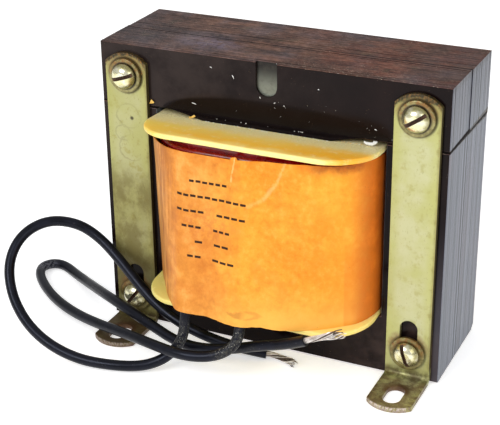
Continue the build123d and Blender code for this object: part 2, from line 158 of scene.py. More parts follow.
class Mat:
    """A small helper for procedural node materials. Positions are the object
    coordinates in millimetres."""

    def __init__(self, name, rough=0.5, metal=0.0, spec=0.5, ior=1.5, coat=0.0, coat_rough=0.1, coat_ior=1.5):
        self.m = bpy.data.materials.new(name)
        self.m.use_nodes = True
        self.t = self.m.node_tree
        self.b = self.t.nodes["Principled BSDF"]
        i = self.b.inputs
        i["Roughness"].default_value = rough
        i["Metallic"].default_value = metal
        i["Specular IOR Level"].default_value = spec
        i["IOR"].default_value = ior
        i["Coat Weight"].default_value = coat
        i["Coat Roughness"].default_value = coat_rough
        i["Coat IOR"].default_value = coat_ior
        self._c = None

    def node(self, kind, ins=None, **props):
        n = self.t.nodes.new(kind)
        for k, v in props.items():
            setattr(n, k, v)
        for k, v in (ins or {}).items():
            self.put(n.inputs[k], v)
        return n

    def put(self, sock, v):
        if isinstance(v, bpy.types.NodeSocket):
            self.t.links.new(v, sock)
        elif isinstance(v, (int, float)) and sock.type in ("RGBA",):
            sock.default_value = (v, v, v, 1.0)
        else:
            sock.default_value = v

    def pos(self, stretch=(1, 1, 1), off=(0, 0, 0)):
        if self._c is None:
            self._c = self.node("ShaderNodeTexCoord").outputs["Object"]
        mp = self.node("ShaderNodeMapping", {"Vector": self._c, "Location": off, "Scale": tuple(1000.0 * s for s in stretch)})
        return mp.outputs[0]

    def xyz(self):
        n = self.node("ShaderNodeSeparateXYZ", {0: self.pos()})
        return n.outputs[0], n.outputs[1], n.outputs[2]

    def noise(self, scale, detail=4.0, rough=0.55, stretch=(1, 1, 1), dist=0.0, off=(0, 0, 0)):
        n = self.node("ShaderNodeTexNoise", {"Vector": self.pos(stretch, off), "Scale": scale, "Detail": detail,
                                             "Roughness": rough, "Distortion": dist})
        return n.outputs[0]

    def cells(self, scale, stretch=(1, 1, 1), off=(0, 0, 0), rnd=1.0):
        n = self.node("ShaderNodeTexVoronoi", {"Vector": self.pos(stretch, off), "Scale": scale, "Randomness": rnd})
        return n.outputs["Distance"]

    def ramp(self, fac, *stops):
        n = self.node("ShaderNodeValToRGB", {0: fac})
        e = n.color_ramp.elements
        while len(e) < len(stops):
            e.new(0.5)
        for el, (p, c) in zip(e, stops):
            el.position = p
            el.color = c if isinstance(c, tuple) else (c, c, c, 1.0)
        return n.outputs[0]

    def mix(self, fac, a, b, mode="MIX"):
        n = self.node("ShaderNodeMix", data_type="RGBA", blend_type=mode)
        self.put(n.inputs[0], fac)
        self.put(n.inputs[6], a)
        self.put(n.inputs[7], b)
        return n.outputs[2]

    def math(self, op, a, b=0.0, clamp=False):
        n = self.node("ShaderNodeMath", {0: a, 1: b}, operation=op)
        n.use_clamp = clamp
        return n.outputs[0]

    def step(self, v, lo, hi):
        """0 below lo, 1 above hi, smooth between. lo may be above hi."""
        n = self.node("ShaderNodeMapRange", {"Value": v}, interpolation_type="SMOOTHSTEP")
        n.clamp = True
        if lo <= hi:
            n.inputs["From Min"].default_value, n.inputs["From Max"].default_value = lo, hi
        else:
            n.inputs["From Min"].default_value, n.inputs["From Max"].default_value = hi, lo
            n.inputs["To Min"].default_value, n.inputs["To Max"].default_value = 1.0, 0.0
        return n.outputs["Result"]

    def mul(self, *v):
        r = v[0]
        for x in v[1:]:
            r = self.math("MULTIPLY", r, x)
        return r

    def spot(self, c, r0, r1, stretch=(1, 1, 1)):
        """1 near the point c (mm), falling to 0 at r1."""
        n = self.node("ShaderNodeVectorMath", {0: self.pos(stretch), 1: tuple(a * s for a, s in zip(c, stretch))}, operation="DISTANCE")
        return self.step(n.outputs["Value"], r1, r0)

    def color(self, s):
        self.put(self.b.inputs["Base Color"], s)
        return self

    def roughness(self, s):
        self.put(self.b.inputs["Roughness"], s)
        return self

    def bump(self, *layers):
        """layers of (height socket, height in mm)."""
        last = None
        for h, mm in layers:
            n = self.node("ShaderNodeBump", {"Height": h, "Distance": mm * MM, "Strength": 1.0})
            if last is not None:
                self.t.links.new(last, n.inputs["Normal"])
            last = n.outputs[0]
        self.t.links.new(last, self.b.inputs["Normal"])
        return self


def bsdf(mat, **values):
    for k, v in values.items():
        mat.b.inputs[k.replace("_", " ")].default_value = v


# front faces of the core: dark brown-black dipping varnish
M = Mat("varnish_front", rough=0.5, spec=0.0, coat=0.5, coat_rough=0.16, coat_ior=1.30)
x, y, z = M.xyz()
big = M.noise(0.05, 5, 0.6)
fine = M.noise(1.1, 3, 0.6)
c = M.mix(M.step(big, 0.35, 0.7), lin(17, 8, 8), lin(27, 16, 15))
# mottled varnish haze with a painted reflection: lighter towards the top and the left
haze_and_reflection = M.step(M.math("ADD", M.noise(0.09, 5, 0.65, off=(7, 0, 3)), M.mul(M.step(x, 10.0, -50.0), 0.22)), 0.32, 0.8)
c = M.mix(M.mul(haze_and_reflection, M.step(z, 30.0, 80.0), M.step(x, 40.0, -30.0), 0.55), c, lin(60, 50, 47))
# painted shade: a darker arch over the coil, where the flange keeps the reflection off the face
u = M.math("DIVIDE", M.math("SUBTRACT", x, 2.0), 38.0)
arch = M.math("MULTIPLY", M.math("SQRT", M.math("MAXIMUM", M.math("SUBTRACT", 1.0, M.mul(u, u)), 0.0)), 7.2)
below = M.math("SUBTRACT", M.math("SUBTRACT", z, 77.0), arch)
inside = M.mul(M.step(below, 0.6, -0.5), M.step(M.math("ABSOLUTE", M.math("SUBTRACT", x, 2.0)), 39.5, 37.5))
c = M.mix(M.mul(inside, 0.93), c, lin(12, 3, 3))
# painted shade with pooled varnish: nearly black behind and beside the straps
c = M.mix(M.mul(M.step(M.math("ABSOLUTE", x), 38.0, 41.0), M.step(M.math("ABSOLUTE", x), 57.0, 54.5), M.step(z, 94.5, 90.0), 0.35), c, lin(8, 5, 6))
foot = M.mul(M.step(z, 30.0, 8.0), M.step(M.noise(0.12, 5, 0.6, off=(1, 5, 0)), 0.3, 0.65), M.step(x, 15.0, 45.0))
c = M.mix(M.mul(foot, 0.6), c, lin(76, 60, 56))
c = M.mix(M.mul(M.step(x, 54.6, 55.4), M.step(z, 60.0, 15.0), 0.6), c, lin(76, 74, 82))
dust = M.step(M.cells(1.5, off=(3, 1, 2)), 0.16, 0.08)
sparse = M.step(M.noise(0.35, 2, 0.5, off=(9, 9, 1)), 0.56, 0.72)
c = M.mix(M.mul(dust, sparse, 0.32), c, lin(170, 140, 110))
M.color(c).roughness(M.ramp(big, (0.3, 0.32), (0.7, 0.5)))
M.bump((M.noise(0.16, 3, 0.5), 0.10), (fine, 0.012))
CORE_FRONT = M.m

# the plates' faces inside the notch: nearly bare steel
M = Mat("plate_in_notch", rough=0.42, metal=0.55, spec=0.4)
x, y, z = M.xyz()
c = M.mix(M.step(z, 95.5, 86.5), lin(34, 31, 29), lin(128, 132, 120))
c = M.mix(M.mul(M.step(M.noise(0.5, 4, 0.6), 0.45, 0.7), 0.35), c, lin(70, 66, 58))
M.color(c).roughness(0.42)
M.bump((M.noise(0.6, 3, 0.6), 0.01))
CORE_NOTCH = M.m

# top faces: edges of the plates under varnish, streaked along X
M = Mat("varnish_top", rough=0.5, spec=0.06, coat=0.2, coat_rough=0.3, coat_ior=1.35)
x, y, z = M.xyz()
streak = M.noise(1.0, 5, 0.65, stretch=(0.035, 2.2, 1.0))
streak2 = M.noise(1.0, 3, 0.6, stretch=(0.12, 5.0, 1.0), off=(40, 3, 0))
big = M.noise(0.045, 4, 0.6, off=(3, 8, 2))
mott = M.noise(0.16, 6, 0.72, stretch=(0.5, 1.0, 1.0), off=(14, 3, 2))
lines = M.math("ADD", M.mul(streak, 0.45), M.mul(mott, 0.55))
c = M.ramp(lines, (0.36, lin(44, 28, 24)), (0.5, lin(88, 60, 50)), (0.62, lin(138, 100, 82)))
c = M.mix(M.mul(M.step(big, 0.42, 0.68), 0.8), c, M.ramp(mott, (0.36, lin(54, 46, 50)), (0.62, lin(114, 102, 108))))
red = M.mul(M.step(x, -20.0, 25.0), M.step(M.noise(0.07, 4, 0.6, off=(20, 1, 5)), 0.38, 0.62))
c = M.mix(M.mul(red, 0.62), c, M.ramp(lines, (0.38, lin(62, 26, 18)), (0.60, lin(136, 76, 56))))
olive = M.step(M.noise(0.11, 4, 0.6, off=(5, 30, 5)), 0.58, 0.72)
c = M.mix(M.mul(olive, 0.45), c, lin(84, 76, 52))
c = M.mix(M.mul(M.spot((-54, -4, 96), 4, 20, (0.6, 0.8, 1)), M.step(streak, 0.25, 0.6), 0.75), c, lin(62, 60, 66))
blot = M.mul(M.spot((-24, -8, 96), 1, 9, (0.6, 1, 1)), M.step(M.noise(0.35, 5, 0.7), 0.36, 0.62))
c = M.mix(M.mul(blot, 0.6), c, lin(124, 112, 132))
grain = M.noise(0.95, 5, 0.8, stretch=(0.7, 1, 1), off=(2, 6, 1))
c = M.mix(M.mul(M.step(grain, 0.52, 0.36), 0.55), c, lin(30, 20, 18))
c = M.mix(M.mul(M.step(grain, 0.52, 0.68), 0.45), c, lin(150, 122, 106))
c = M.mix(M.mul(M.step(x, 34.0, 52.0), M.step(mott, 0.38, 0.56), 0.55), c, lin(64, 56, 60))
split_ = M.mul(M.step(M.math("ABSOLUTE", M.math("ADD", y, 0.62)), 0.50, 0.16), M.step(x, -8.0, 14.0), M.step(M.noise(0.6, 3, 0.6, stretch=(1, 0.2, 1), off=(4, 4, 2)), 0.30, 0.42))
c = M.mix(M.mul(split_, 0.9), c, lin(12, 7, 6))
edge_ = M.math("MAXIMUM", M.mul(M.step(x, -5.0, 12.0), M.step(y, -9.0, -17.0)), M.step(M.noise(0.18, 3, 0.6, off=(0, 9, 0)), 0.52, 0.68))
spk = M.mul(M.step(M.cells(1.5), 0.20, 0.12), edge_)
c = M.mix(M.mul(spk, 0.75), c, lin(214, 196, 170))
c = M.mix(M.mul(M.step(streak2, 0.36, 0.26), M.step(x, -10.0, 15.0), M.step(mott, 0.55, 0.45), 0.6), c, lin(26, 15, 13))
M.color(c).roughness(M.ramp(streak2, (0.3, 0.38), (0.7, 0.6)))
M.bump((streak, 0.03), (streak2, 0.02), (grain, 0.03))
CORE_TOP = M.m

# ends of the core: streaked along Z, blue-grey sheen
M = Mat("varnish_side", rough=0.46, metal=0.2, spec=0.45, coat=0.25, coat_rough=0.32, coat_ior=1.4)
x, y, z = M.xyz()
streak = M.noise(1.0, 4, 0.6, stretch=(0.2, 0.9, 0.003))
streak2 = M.noise(1.0, 3, 0.6, stretch=(0.2, 3.5, 0.004), off=(0, 3, 30))
big = M.noise(0.06, 4, 0.6, stretch=(1, 1.6, 0.35), off=(3, 8, 2))
c = M.ramp(streak, (0.3, lin(84, 88, 99)), (0.5, lin(98, 103, 116)), (0.7, lin(116, 122, 136)))
c = M.mix(M.mul(M.step(big, 0.45, 0.7), 0.45), c, lin(108, 104, 116))
c = M.mix(M.mul(M.step(streak2, 0.44, 0.30), 0.2), c, lin(62, 62, 72))
c = M.mix(M.mul(M.step(M.noise(0.09, 4, 0.6, off=(0, 5, 9)), 0.62, 0.75), 0.3), c, lin(120, 100, 96))
c = M.mix(M.mul(M.step(z, 76.0, 92.0), 0.35), c, lin(70, 70, 76))
c = M.mix(M.mul(M.step(z, 93.5, 96.2), 0.5), c, lin(44, 40, 42))
# varnish pressed out of the air gap, wider toward the back
grit = M.noise(0.9, 4, 0.65, off=(6, 1, 1))
wide = M.math("ADD", M.math("MULTIPLY", M.math("ADD", y, 19.05), 0.026), 0.50)
wide = M.math("ADD", wide, M.mul(M.math("SUBTRACT", grit, 0.5), 0.9))
band = M.step(M.math("SUBTRACT", M.math("ABSOLUTE", M.math("SUBTRACT", z, 77.0)), wide), 0.16, -0.10)
c = M.mix(band, c, M.mix(M.step(M.noise(0.8, 3, 0.6, off=(1, 8, 4)), 0.60, 0.66), lin(8, 5, 5), lin(122, 88, 60)))
M.color(c).roughness(M.ramp(streak2, (0.3, 0.38), (0.7, 0.52)))
M.bump((streak, 0.010), (streak2, 0.008), (M.noise(1.2, 3, 0.6), 0.012))
CORE_SIDE = M.m

# gap paper, brown with dark varnish beads
M = Mat("gap_paper", rough=0.7)
c = M.ramp(M.noise(0.9, 4, 0.7, stretch=(1, 1, 0.6)), (0.5, lin(9, 6, 5)), (0.66, lin(52, 34, 22)), (0.76, lin(132, 100, 66)))
c = M.mix(M.step(M.xyz()[1], -17.0, -18.2), c, lin(14, 8, 8))
M.color(c).roughness(0.7)
M.bump((M.noise(1.2, 3, 0.6), 0.12))
PAPER = M.m

# bobbin: aged cream nylon, golden where the varnish has run
M = Mat("bobbin_nylon", rough=0.38, spec=0.45)
x, y, z = M.xyz()
ay = M.math("ABSOLUTE", y)
wob = M.noise(0.12, 4, 0.6, off=(2, 4, 0))
yy = M.math("ADD", ay, M.mul(M.math("SUBTRACT", wob, 0.5), 7.0))
c = M.ramp(M.step(yy, 18.0, 38.5), (0.0, lin(230, 218, 162)), (0.25, lin(236, 214, 142)), (0.55, lin(244, 204, 96)),
           (0.86, lin(250, 190, 62)), (1.0, lin(252, 214, 118)))
# painted highlight: a pale band along the flanges' rounded outer rims
rim = M.math("MAXIMUM", M.step(ay, 36.55, 37.2), M.step(M.math("ABSOLUTE", x), 36.9, 37.4))
c = M.mix(M.mul(rim, 0.85), c, lin(255, 236, 152))
lower = M.step(z, 50.0, 30.0)
c = M.mix(M.mul(lower, 0.85), c, lin(250, 226, 128))
leftg = M.mul(M.step(x, -18.0, -36.0), lower)
c = M.mix(M.mul(leftg, 0.75), c, lin(208, 202, 112))
orange = M.mul(M.step(x, 0.0, 30.0), M.step(z, 50.0, 70.0), M.step(yy, 24.0, 30.0), M.step(yy, 37.0, 34.0))
c = M.mix(M.mul(orange, 0.6), c, lin(248, 172, 30))
lemon = M.mul(M.step(x, -12.0, -34.0), M.step(z, 50.0, 70.0), M.step(yy, 24.0, 30.0))
c = M.mix(M.mul(lemon, 0.4), c, lin(240, 214, 96))
sp = M.mul(M.step(M.noise(1.6, 3, 0.7), 0.55, 0.68), M.step(yy, 27.0, 19.5))
c = M.mix(M.mul(sp, 0.55), c, lin(160, 132, 84))
c = M.mix(M.mul(M.step(M.noise(0.5, 4, 0.65, off=(5, 5, 5)), 0.55, 0.7), 0.35), c, lin(255, 238, 176))
edge = M.mul(M.step(yy, 20.6, 19.2), M.step(z, 60, 70))
c = M.mix(M.mul(edge, 0.25), c, lin(170, 150, 110))
powder = M.mul(M.step(M.noise(1.9, 4, 0.8, off=(1, 9, 2)), 0.50, 0.60), M.step(yy, 30.0, 21.0), M.step(z, 60, 70))
c = M.mix(M.mul(powder, 0.6), c, lin(254, 244, 204))
grime = M.mul(M.step(M.noise(1.5, 4, 0.75, off=(7, 9, 5)), 0.56, 0.66), M.step(ay, 23.0, 20.2), M.step(z, 60, 70))
c = M.mix(M.mul(grime, 0.75), c, lin(112, 84, 44))
lip = M.step(z, 75.66, 75.82)
lip = M.mul(lip, M.step(ay, 21.0, 20.7))
lip = M.mul(lip, M.step(M.math("ABSOLUTE", x), 22.0, 21.0))
c = M.mix(lip, c, M.mix(M.mul(sp, 1.0), lin(10, 4, 4), lin(60, 40, 26)))
M.color(c).roughness(M.math("ADD", M.mul(lip, 0.5), M.ramp(wob, (0.3, 0.28), (0.7, 0.46))))
bsdf(M, Subsurface_Weight=0.12, Subsurface_Scale=0.001)
M.b.inputs["Subsurface Radius"].default_value = (1.0, 0.6, 0.25)
M.bump((M.noise(0.35, 3, 0.5), 0.05), (M.noise(2.5, 3, 0.6), 0.012))
NYLON = M.m

# winding wire: dark red enamel under varnish
M = Mat("red_enamel", rough=0.22, spec=0.3, coat=0.35, coat_rough=0.08)
c = M.ramp(M.noise(0.25, 4, 0.6), (0.35, lin(96, 3, 6)), (0.6, lin(136, 8, 12)), (0.8, lin(160, 34, 32)))
M.color(c).roughness(M.ramp(M.noise(0.6, 3, 0.6), (0.3, 0.16), (0.7, 0.34)))
M.bump((M.noise(0.8, 3, 0.5), 0.04))
ENAMEL = M.m

# wrap: varnished kraft paper
M = Mat("wrap_kraft", rough=0.5, spec=0.16, coat=0.05, coat_rough=0.3)
x, y, z = M.xyz()
n1 = M.noise(0.035, 5, 0.55, off=(1.5, 2, 0.5))
n2 = M.noise(0.16, 6, 0.66, off=(4, 4, 9))
n3 = M.noise(1.3, 4, 0.6)
n4 = M.noise(0.45, 5, 0.7, off=(11, 3, 2))
c = M.ramp(n1, (0.32, lin(224, 128, 25)), (0.5, lin(234, 148, 38)), (0.7, lin(240, 162, 52)))
c = M.mix(M.mul(M.step(n4, 0.46, 0.70), 0.36), c, lin(250, 186, 88))
c = M.mix(M.mul(M.step(n4, 0.48, 0.30), 0.38), c, lin(204, 100, 20))
n5 = M.noise(0.11, 5, 0.7, off=(21, 7, 3))
c = M.mix(M.mul(M.step(n5, 0.50, 0.66), 0.35), c, lin(222, 116, 22))
c = M.mix(M.mul(M.step(n5, 0.48, 0.34), 0.30), c, lin(250, 184, 70))
c = M.mix(M.mul(M.step(x, 18.0, 30.0), 0.35), c, lin(250, 168, 44))
low = M.mul(M.step(z, 36.0, 22.0), M.step(x, -28.0, -6.0), 0.5)
c = M.mix(low, c, lin(244, 176, 78))
c = M.mix(M.mul(M.step(z, 27.0, 22.0), M.step(x, -10.0, 5.0), 0.4), c, lin(250, 186, 84))
# left part: paler and browner, mottled
lft = M.mul(M.step(M.math("ADD", x, M.mul(M.math("SUBTRACT", n2, 0.5), 26.0)), 4.0, -16.0), M.step(y, -19.0, -24.0))
c = M.mix(M.mul(lft, 0.7), c, M.ramp(n2, (0.34, lin(184, 102, 36)), (0.5, lin(208, 130, 54)), (0.64, lin(230, 162, 86))))
left = M.step(M.math("ADD", x, M.mul(M.math("SUBTRACT", n2, 0.5), 9.0)), -22.0, -31.0)
fib = M.noise(1.0, 4, 0.65, stretch=(0.9, 0.9, 0.05))
c = M.mix(M.mul(left, 0.85), c, M.ramp(fib, (0.34, lin(118, 66, 20)), (0.5, lin(170, 106, 40)), (0.66, lin(218, 160, 92))))
c = M.mix(M.mul(M.step(x, -33.5, -36.8), 0.7), c, lin(120, 72, 30))
# right corner: painted shade, deeper and redder where the paper turns away from the light
right_ = M.step(M.math("ADD", x, M.mul(M.math("SUBTRACT", n2, 0.5), 5.0)), 31.0, 36.5)
c = M.mix(M.mul(right_, 0.85), c, M.ramp(n2, (0.3, lin(168, 70, 14)), (0.55, lin(206, 98, 22)), (0.75, lin(230, 126, 36))))
# painted shade: darkest along the right edge
c = M.mix(M.mul(M.step(x, 36.0, 37.3), 0.6), c, lin(100, 36, 10))
# painted shade: a darker band where the paper starts to turn away
turn_shade = M.mul(M.step(M.math("ADD", x, M.mul(M.math("SUBTRACT", n4, 0.5), 0.5)), 30.0, 30.6), M.step(z, 50.0, 38.0))
c = M.mix(M.mul(turn_shade, 0.34), c, lin(214, 112, 28))
# varnish stains, and painted shade under the top flange
# a brown band just under the top flange at the right: painted shade with varnish stain
edge_t = M.mul(M.step(M.math("ADD", z, M.mul(M.math("SUBTRACT", n2, 0.5), 5.0)), 69.6, 73.0), M.step(x, 16.0, 25.0), M.step(x, 36.5, 32.0))
c = M.mix(M.mul(edge_t, 0.85), c, M.mix(M.step(n4, 0.35, 0.6), lin(176, 92, 26), lin(138, 62, 18)))
st = M.mul(M.spot((-12, -38, 50), 3, 13, (0.8, 0.5, 1.2)), M.step(n4, 0.4, 0.6))
c = M.mix(M.mul(st, 0.55), c, lin(196, 104, 40))
st = M.mul(M.spot((-28, -33, 67), 1, 7, (1, 0.5, 1.0)), M.step(n4, 0.38, 0.6))
c = M.mix(M.mul(st, 0.6), c, lin(176, 104, 44))
blot2 = M.mul(M.spot((20, -37, 50), 4, 15, (1, 0.4, 0.8)), M.step(n2, 0.44, 0.66))
c = M.mix(M.mul(blot2, 0.35), c, lin(222, 118, 22))
dd = M.node("ShaderNodeVectorMath", {0: M.pos((0.24, 0.0, 0.85)), 1: (1.5 * 0.24, 0.0, 23.6 * 0.85)}, operation="DISTANCE").outputs["Value"]
dd = M.math("ADD", dd, M.mul(M.math("SUBTRACT", n4, 0.5), 0.7))
ring_ = M.mul(M.step(M.math("ABSOLUTE", M.math("SUBTRACT", dd, 1.1)), 0.42, 0.10), M.step(x, 1.0, 3.5))
body_ = M.mul(M.step(M.math("ADD", dd, M.mul(M.math("SUBTRACT", M.noise(0.5, 4, 0.6, stretch=(0.5, 1, 2.5)), 0.5), 2.4)), 1.2, 0.6), M.step(x, 3.2, 0.5))
ln = M.mul(M.math("MAXIMUM", M.mul(ring_, 0.22), M.mul(body_, 0.4)), M.step(y, -38.0, -41.0), M.step(z, 30.0, 27.0))
c = M.mix(ln, c, lin(132, 66, 24))
spk = M.mul(M.step(M.cells(0.75, off=(2, 2, 2)), 0.12, 0.05), M.step(M.noise(0.2, 2, 0.5, off=(8, 1, 1)), 0.52, 0.66))
c = M.mix(M.mul(spk, 0.6), c, lin(150, 84, 32))
# painted highlight: pale lines along the creases
def crease(mat, a, b, w0, w1):
    """1 on the line from a to b, seen along Y (x, z in mm)."""
    x, y, z = mat.xyz()
    dx, dz = b[0] - a[0], b[1] - a[1]
    n = math.hypot(dx, dz)
    dx, dz = dx / n, dz / n
    u = mat.math("ADD", mat.mul(mat.math("SUBTRACT", x, a[0]), dx), mat.mul(mat.math("SUBTRACT", z, a[1]), dz))
    v = mat.math("ABSOLUTE", mat.math("SUBTRACT", mat.mul(mat.math("SUBTRACT", x, a[0]), dz), mat.mul(mat.math("SUBTRACT", z, a[1]), dx)))
    ends = mat.mul(mat.step(u, -0.6, 0.4), mat.step(u, n + 0.6, n - 0.6))
    front = mat.step(y, -30.0, -34.0)
    v = mat.math("ADD", v, mat.mul(mat.step(mat.noise(0.7, 4, 0.65, off=(b[0], 2, 2)), 0.42, 0.68), 0.45))
    return mat.mul(mat.step(v, w1, w0), ends, front)
cr = M.math("MAXIMUM", crease(M, (-2.9, 73.4), (-4.4, 62.5), 0.10, 0.5),
            M.math("MAXIMUM", M.mul(crease(M, (13.1, 73.0), (10.6, 66.3), 0.1, 0.8), 0.6),
                   M.math("MAXIMUM", M.mul(crease(M, (10.6, 66.3), (6.3, 60.5), 0.1, 1.2), 0.7),
                          M.mul(crease(M, (6.3, 60.5), (1.3, 57.7), 0.1, 1.2), 0.45))))
# painted highlight along the creases
c = M.mix(M.mul(cr, 0.55), c, lin(252, 204, 130))
M.color(c).roughness(M.ramp(n2, (0.3, 0.38), (0.7, 0.58)))
M.bump((n1, 0.5), (n2, 0.12), (n3, 0.02), (M.noise(3.5, 2, 0.5), 0.008))
KRAFT = M.m


# strap brackets: pale yellow-green zinc
def strap_material(name, stain, seed):
    M = Mat(name, rough=0.42, metal=0.45, spec=0.4)
    x, y, z = M.xyz()
    n1 = M.noise(0.07, 5, 0.6, off=(seed, 2, 1))
    n2 = M.noise(0.35, 5, 0.62, off=(seed, 7, 3))
    n3 = M.noise(2.0, 3, 0.6, stretch=(1, 1, 0.5), off=(seed, 1, 1))
    ux = M.math("ABSOLUTE", M.math("SUBTRACT", M.math("ABSOLUTE", x), 47.625))
    c = M.mix(M.step(n1, 0.35, 0.65), lin(178, 178, 116), lin(188, 188, 144))
    c = M.mix(M.mul(M.step(ux, 3.4, 6.8), 0.55), c, lin(176, 176, 100))
    c = M.mix(M.mul(M.step(n2, 0.54, 0.7), 0.35 + 0.45 * stain), c, lin(162, 154, 84))
    c = M.mix(M.mul(M.step(n3, 0.6, 0.72), 0.3 + 0.3 * stain), c, lin(134, 124, 70))
    if stain > 0.5:
        c = M.mix(0.4, c, lin(150, 144, 84))
        smear = M.step(M.noise(0.10, 5, 0.7, stretch=(1, 1, 0.7), off=(3, 3, 8)), 0.40, 0.62)
        c = M.mix(M.mul(M.step(z, 64.0, 46.0), M.math("ADD", M.mul(smear, 0.45), 0.35)), c, lin(100, 88, 42))
        c = M.mix(M.mul(M.step(z, 30.0, 20.0), M.step(z, 5.0, 12.0), 0.5), c, lin(70, 54, 28))
        ring = None
        for cx, cz, r in ((-47.4, 73.4, 4.1), (-46.9, 62.6, 4.3), (-49.6, 67.4, 2.6)):
            n = M.node("ShaderNodeVectorMath", {0: M.pos((1, 0, 1)), 1: (cx, 0, cz)}, operation="DISTANCE").outputs["Value"]
            d = M.math("ABSOLUTE", M.math("SUBTRACT", M.math("ADD", n, M.mul(M.math("SUBTRACT", n2, 0.5), 2.6)), r))
            k = M.step(d, 0.45, 0.05)
            ring = k if ring is None else M.math("MAXIMUM", ring, k)
        c = M.mix(M.mul(ring, M.step(y, -20.0, -20.5), M.step(n1, 0.35, 0.6), 0.30), c, lin(104, 98, 58))
        c = M.mix(M.mul(M.spot((-46.2, -20.65, 72.8), 0.3, 0.9), 0.9), c, lin(50, 40, 30))
    # varnish round the screws and along the bend
    for sx in (-47.625, 47.625):
        for sz in (86.925, 9.925):
            n = M.node("ShaderNodeVectorMath", {0: M.pos((1, 0, 1)), 1: (sx, 0, sz)}, operation="DISTANCE").outputs["Value"]
            k = M.mul(M.step(M.math("ADD", n, M.mul(M.math("SUBTRACT", n2, 0.5), 4.5)), 8.2, 5.4), M.step(z, sz - 2.0, sz + 3.0))
            c = M.mix(M.mul(k, 0.7), c, lin(128, 92, 48))
            ringd = M.mul(M.step(n, 6.5, 5.7), M.step(M.math("ABSOLUTE", y), 22.5, 21.5))
            c = M.mix(M.mul(ringd, 0.8 if sz > 40 else 0.45), c, lin(48, 36, 20))
    # dark varnish over the rounded upper end; painted shade on the edges that face right
    n = M.node("ShaderNodeVectorMath", {0: M.math("SUBTRACT", M.math("ABSOLUTE", x), 47.625)}, operation="LENGTH").outputs["Value"]
    topd = M.math("SQRT", M.math("ADD", M.mul(ux, ux), M.mul(M.math("SUBTRACT", z, 84.6), M.math("SUBTRACT", z, 84.6))))
    topk = M.mul(M.step(M.math("ADD", topd, M.mul(M.math("SUBTRACT", n2, 0.5), 3.4)), 7.9, 8.9), M.step(z, 86.0, 88.5))
    c = M.mix(M.mul(topk, 0.92), c, M.mix(M.step(n3, 0.45, 0.62), lin(26, 17, 12), lin(108, 74, 36)))
    sx_ = M.math("SUBTRACT", x, -47.625 if seed > 5 else 47.625)
    # painted shade: the edges that face right dark, with a softer olive band beside them
    c = M.mix(M.mul(M.step(sx_, 6.95, 7.1), M.step(z, 3.5, 6.0), 0.95), c, lin(34, 26, 22))
    c = M.mix(M.mul(M.step(M.math("ADD", sx_, M.mul(M.math("SUBTRACT", n2, 0.5), 1.6)), 6.0, 6.9), M.step(z, 3.5, 6.0), 0.45), c, lin(120, 108, 62))
    bend = M.mul(M.step(z, 5.2, 2.6), M.step(n2, 0.3, 0.6), M.step(M.math("ABSOLUTE", y), 26.0, 22.5))
    c = M.mix(M.mul(bend, 0.8), c, lin(70, 52, 34))
    foot_ = M.step(M.math("ABSOLUTE", y), 22.5, 25.0)
    c = M.mix(M.mul(foot_, M.step(n2, 0.34, 0.6), 0.85), c, lin(118, 98, 72))
    c = M.mix(M.mul(foot_, 0.35), c, lin(132, 116, 78))
    c = M.mix(M.mul(foot_, M.step(n3, 0.52, 0.66), 0.5), c, lin(74, 52, 34))
    if stain > 0.5:
        c = M.mix(M.mul(foot_, 0.62), c, lin(72, 52, 34))
    sl = M.node("ShaderNodeVectorMath", {0: M.pos((1, 0.55, 0)), 1: (0, 0, 0)}, operation="LENGTH").outputs["Value"]
    # rust round the foot slot
    uy = M.math("MAXIMUM", M.math("SUBTRACT", M.math("ABSOLUTE", M.math("SUBTRACT", M.math("ABSOLUTE", y), 32.55)), 2.05), 0.0)
    dd = M.math("SQRT", M.math("ADD", M.mul(ux, ux), M.mul(uy, uy)))
    rust = M.mul(M.step(M.math("ADD", dd, M.mul(M.math("SUBTRACT", n2, 0.5), 2.6)), 5.0, 3.2), foot_, M.math("ADD", 0.35, M.mul(M.step(M.math("ABSOLUTE", y), 34.0, 30.0), 0.65)))
    c = M.mix(M.mul(rust, 0.85), c, lin(92, 60, 36))
    c = M.mix(M.mul(foot_, M.step(ux, 5.2, 6.9), M.step(n2, 0.4, 0.6), 0.55), c, lin(92, 66, 44))
    tip = M.mul(M.step(M.math("ADD", M.math("ABSOLUTE", y), M.mul(M.mul(ux, ux), 0.05)), 39.5, 40.1), M.step(n3, 0.40, 0.56))
    c = M.mix(M.mul(tip, 0.3 if stain > 0.5 else 0.8), c, lin(214, 200, 194))
    mark_ = M.mul(M.step(M.math("ABSOLUTE", M.math("SUBTRACT", M.math("ABSOLUTE", y), 27.2)), 2.4, 0.6), M.step(ux, 5.2, 2.6), M.step(n2, 0.34, 0.56), foot_)
    c = M.mix(M.mul(mark_, 0.8), c, lin(78, 56, 38))
    c = M.mix(M.mul(M.step(z, 1.1, 0.5), foot_, M.step(n3, 0.42, 0.58), 0.7), c, lin(104, 78, 66))
    M.color(c).roughness(M.ramp(n2, (0.3, 0.34), (0.7, 0.52)))
    M.bump((n2, 0.02), (n3, 0.012), (M.noise(0.25, 3, 0.5, off=(seed, 0, 0)), 0.05))
    return M.m


STRAP_CLEAN = strap_material("zinc_strap_clean", 0.25, 3)
STRAP_STAINED = strap_material("zinc_strap_stained", 1.0, 11)

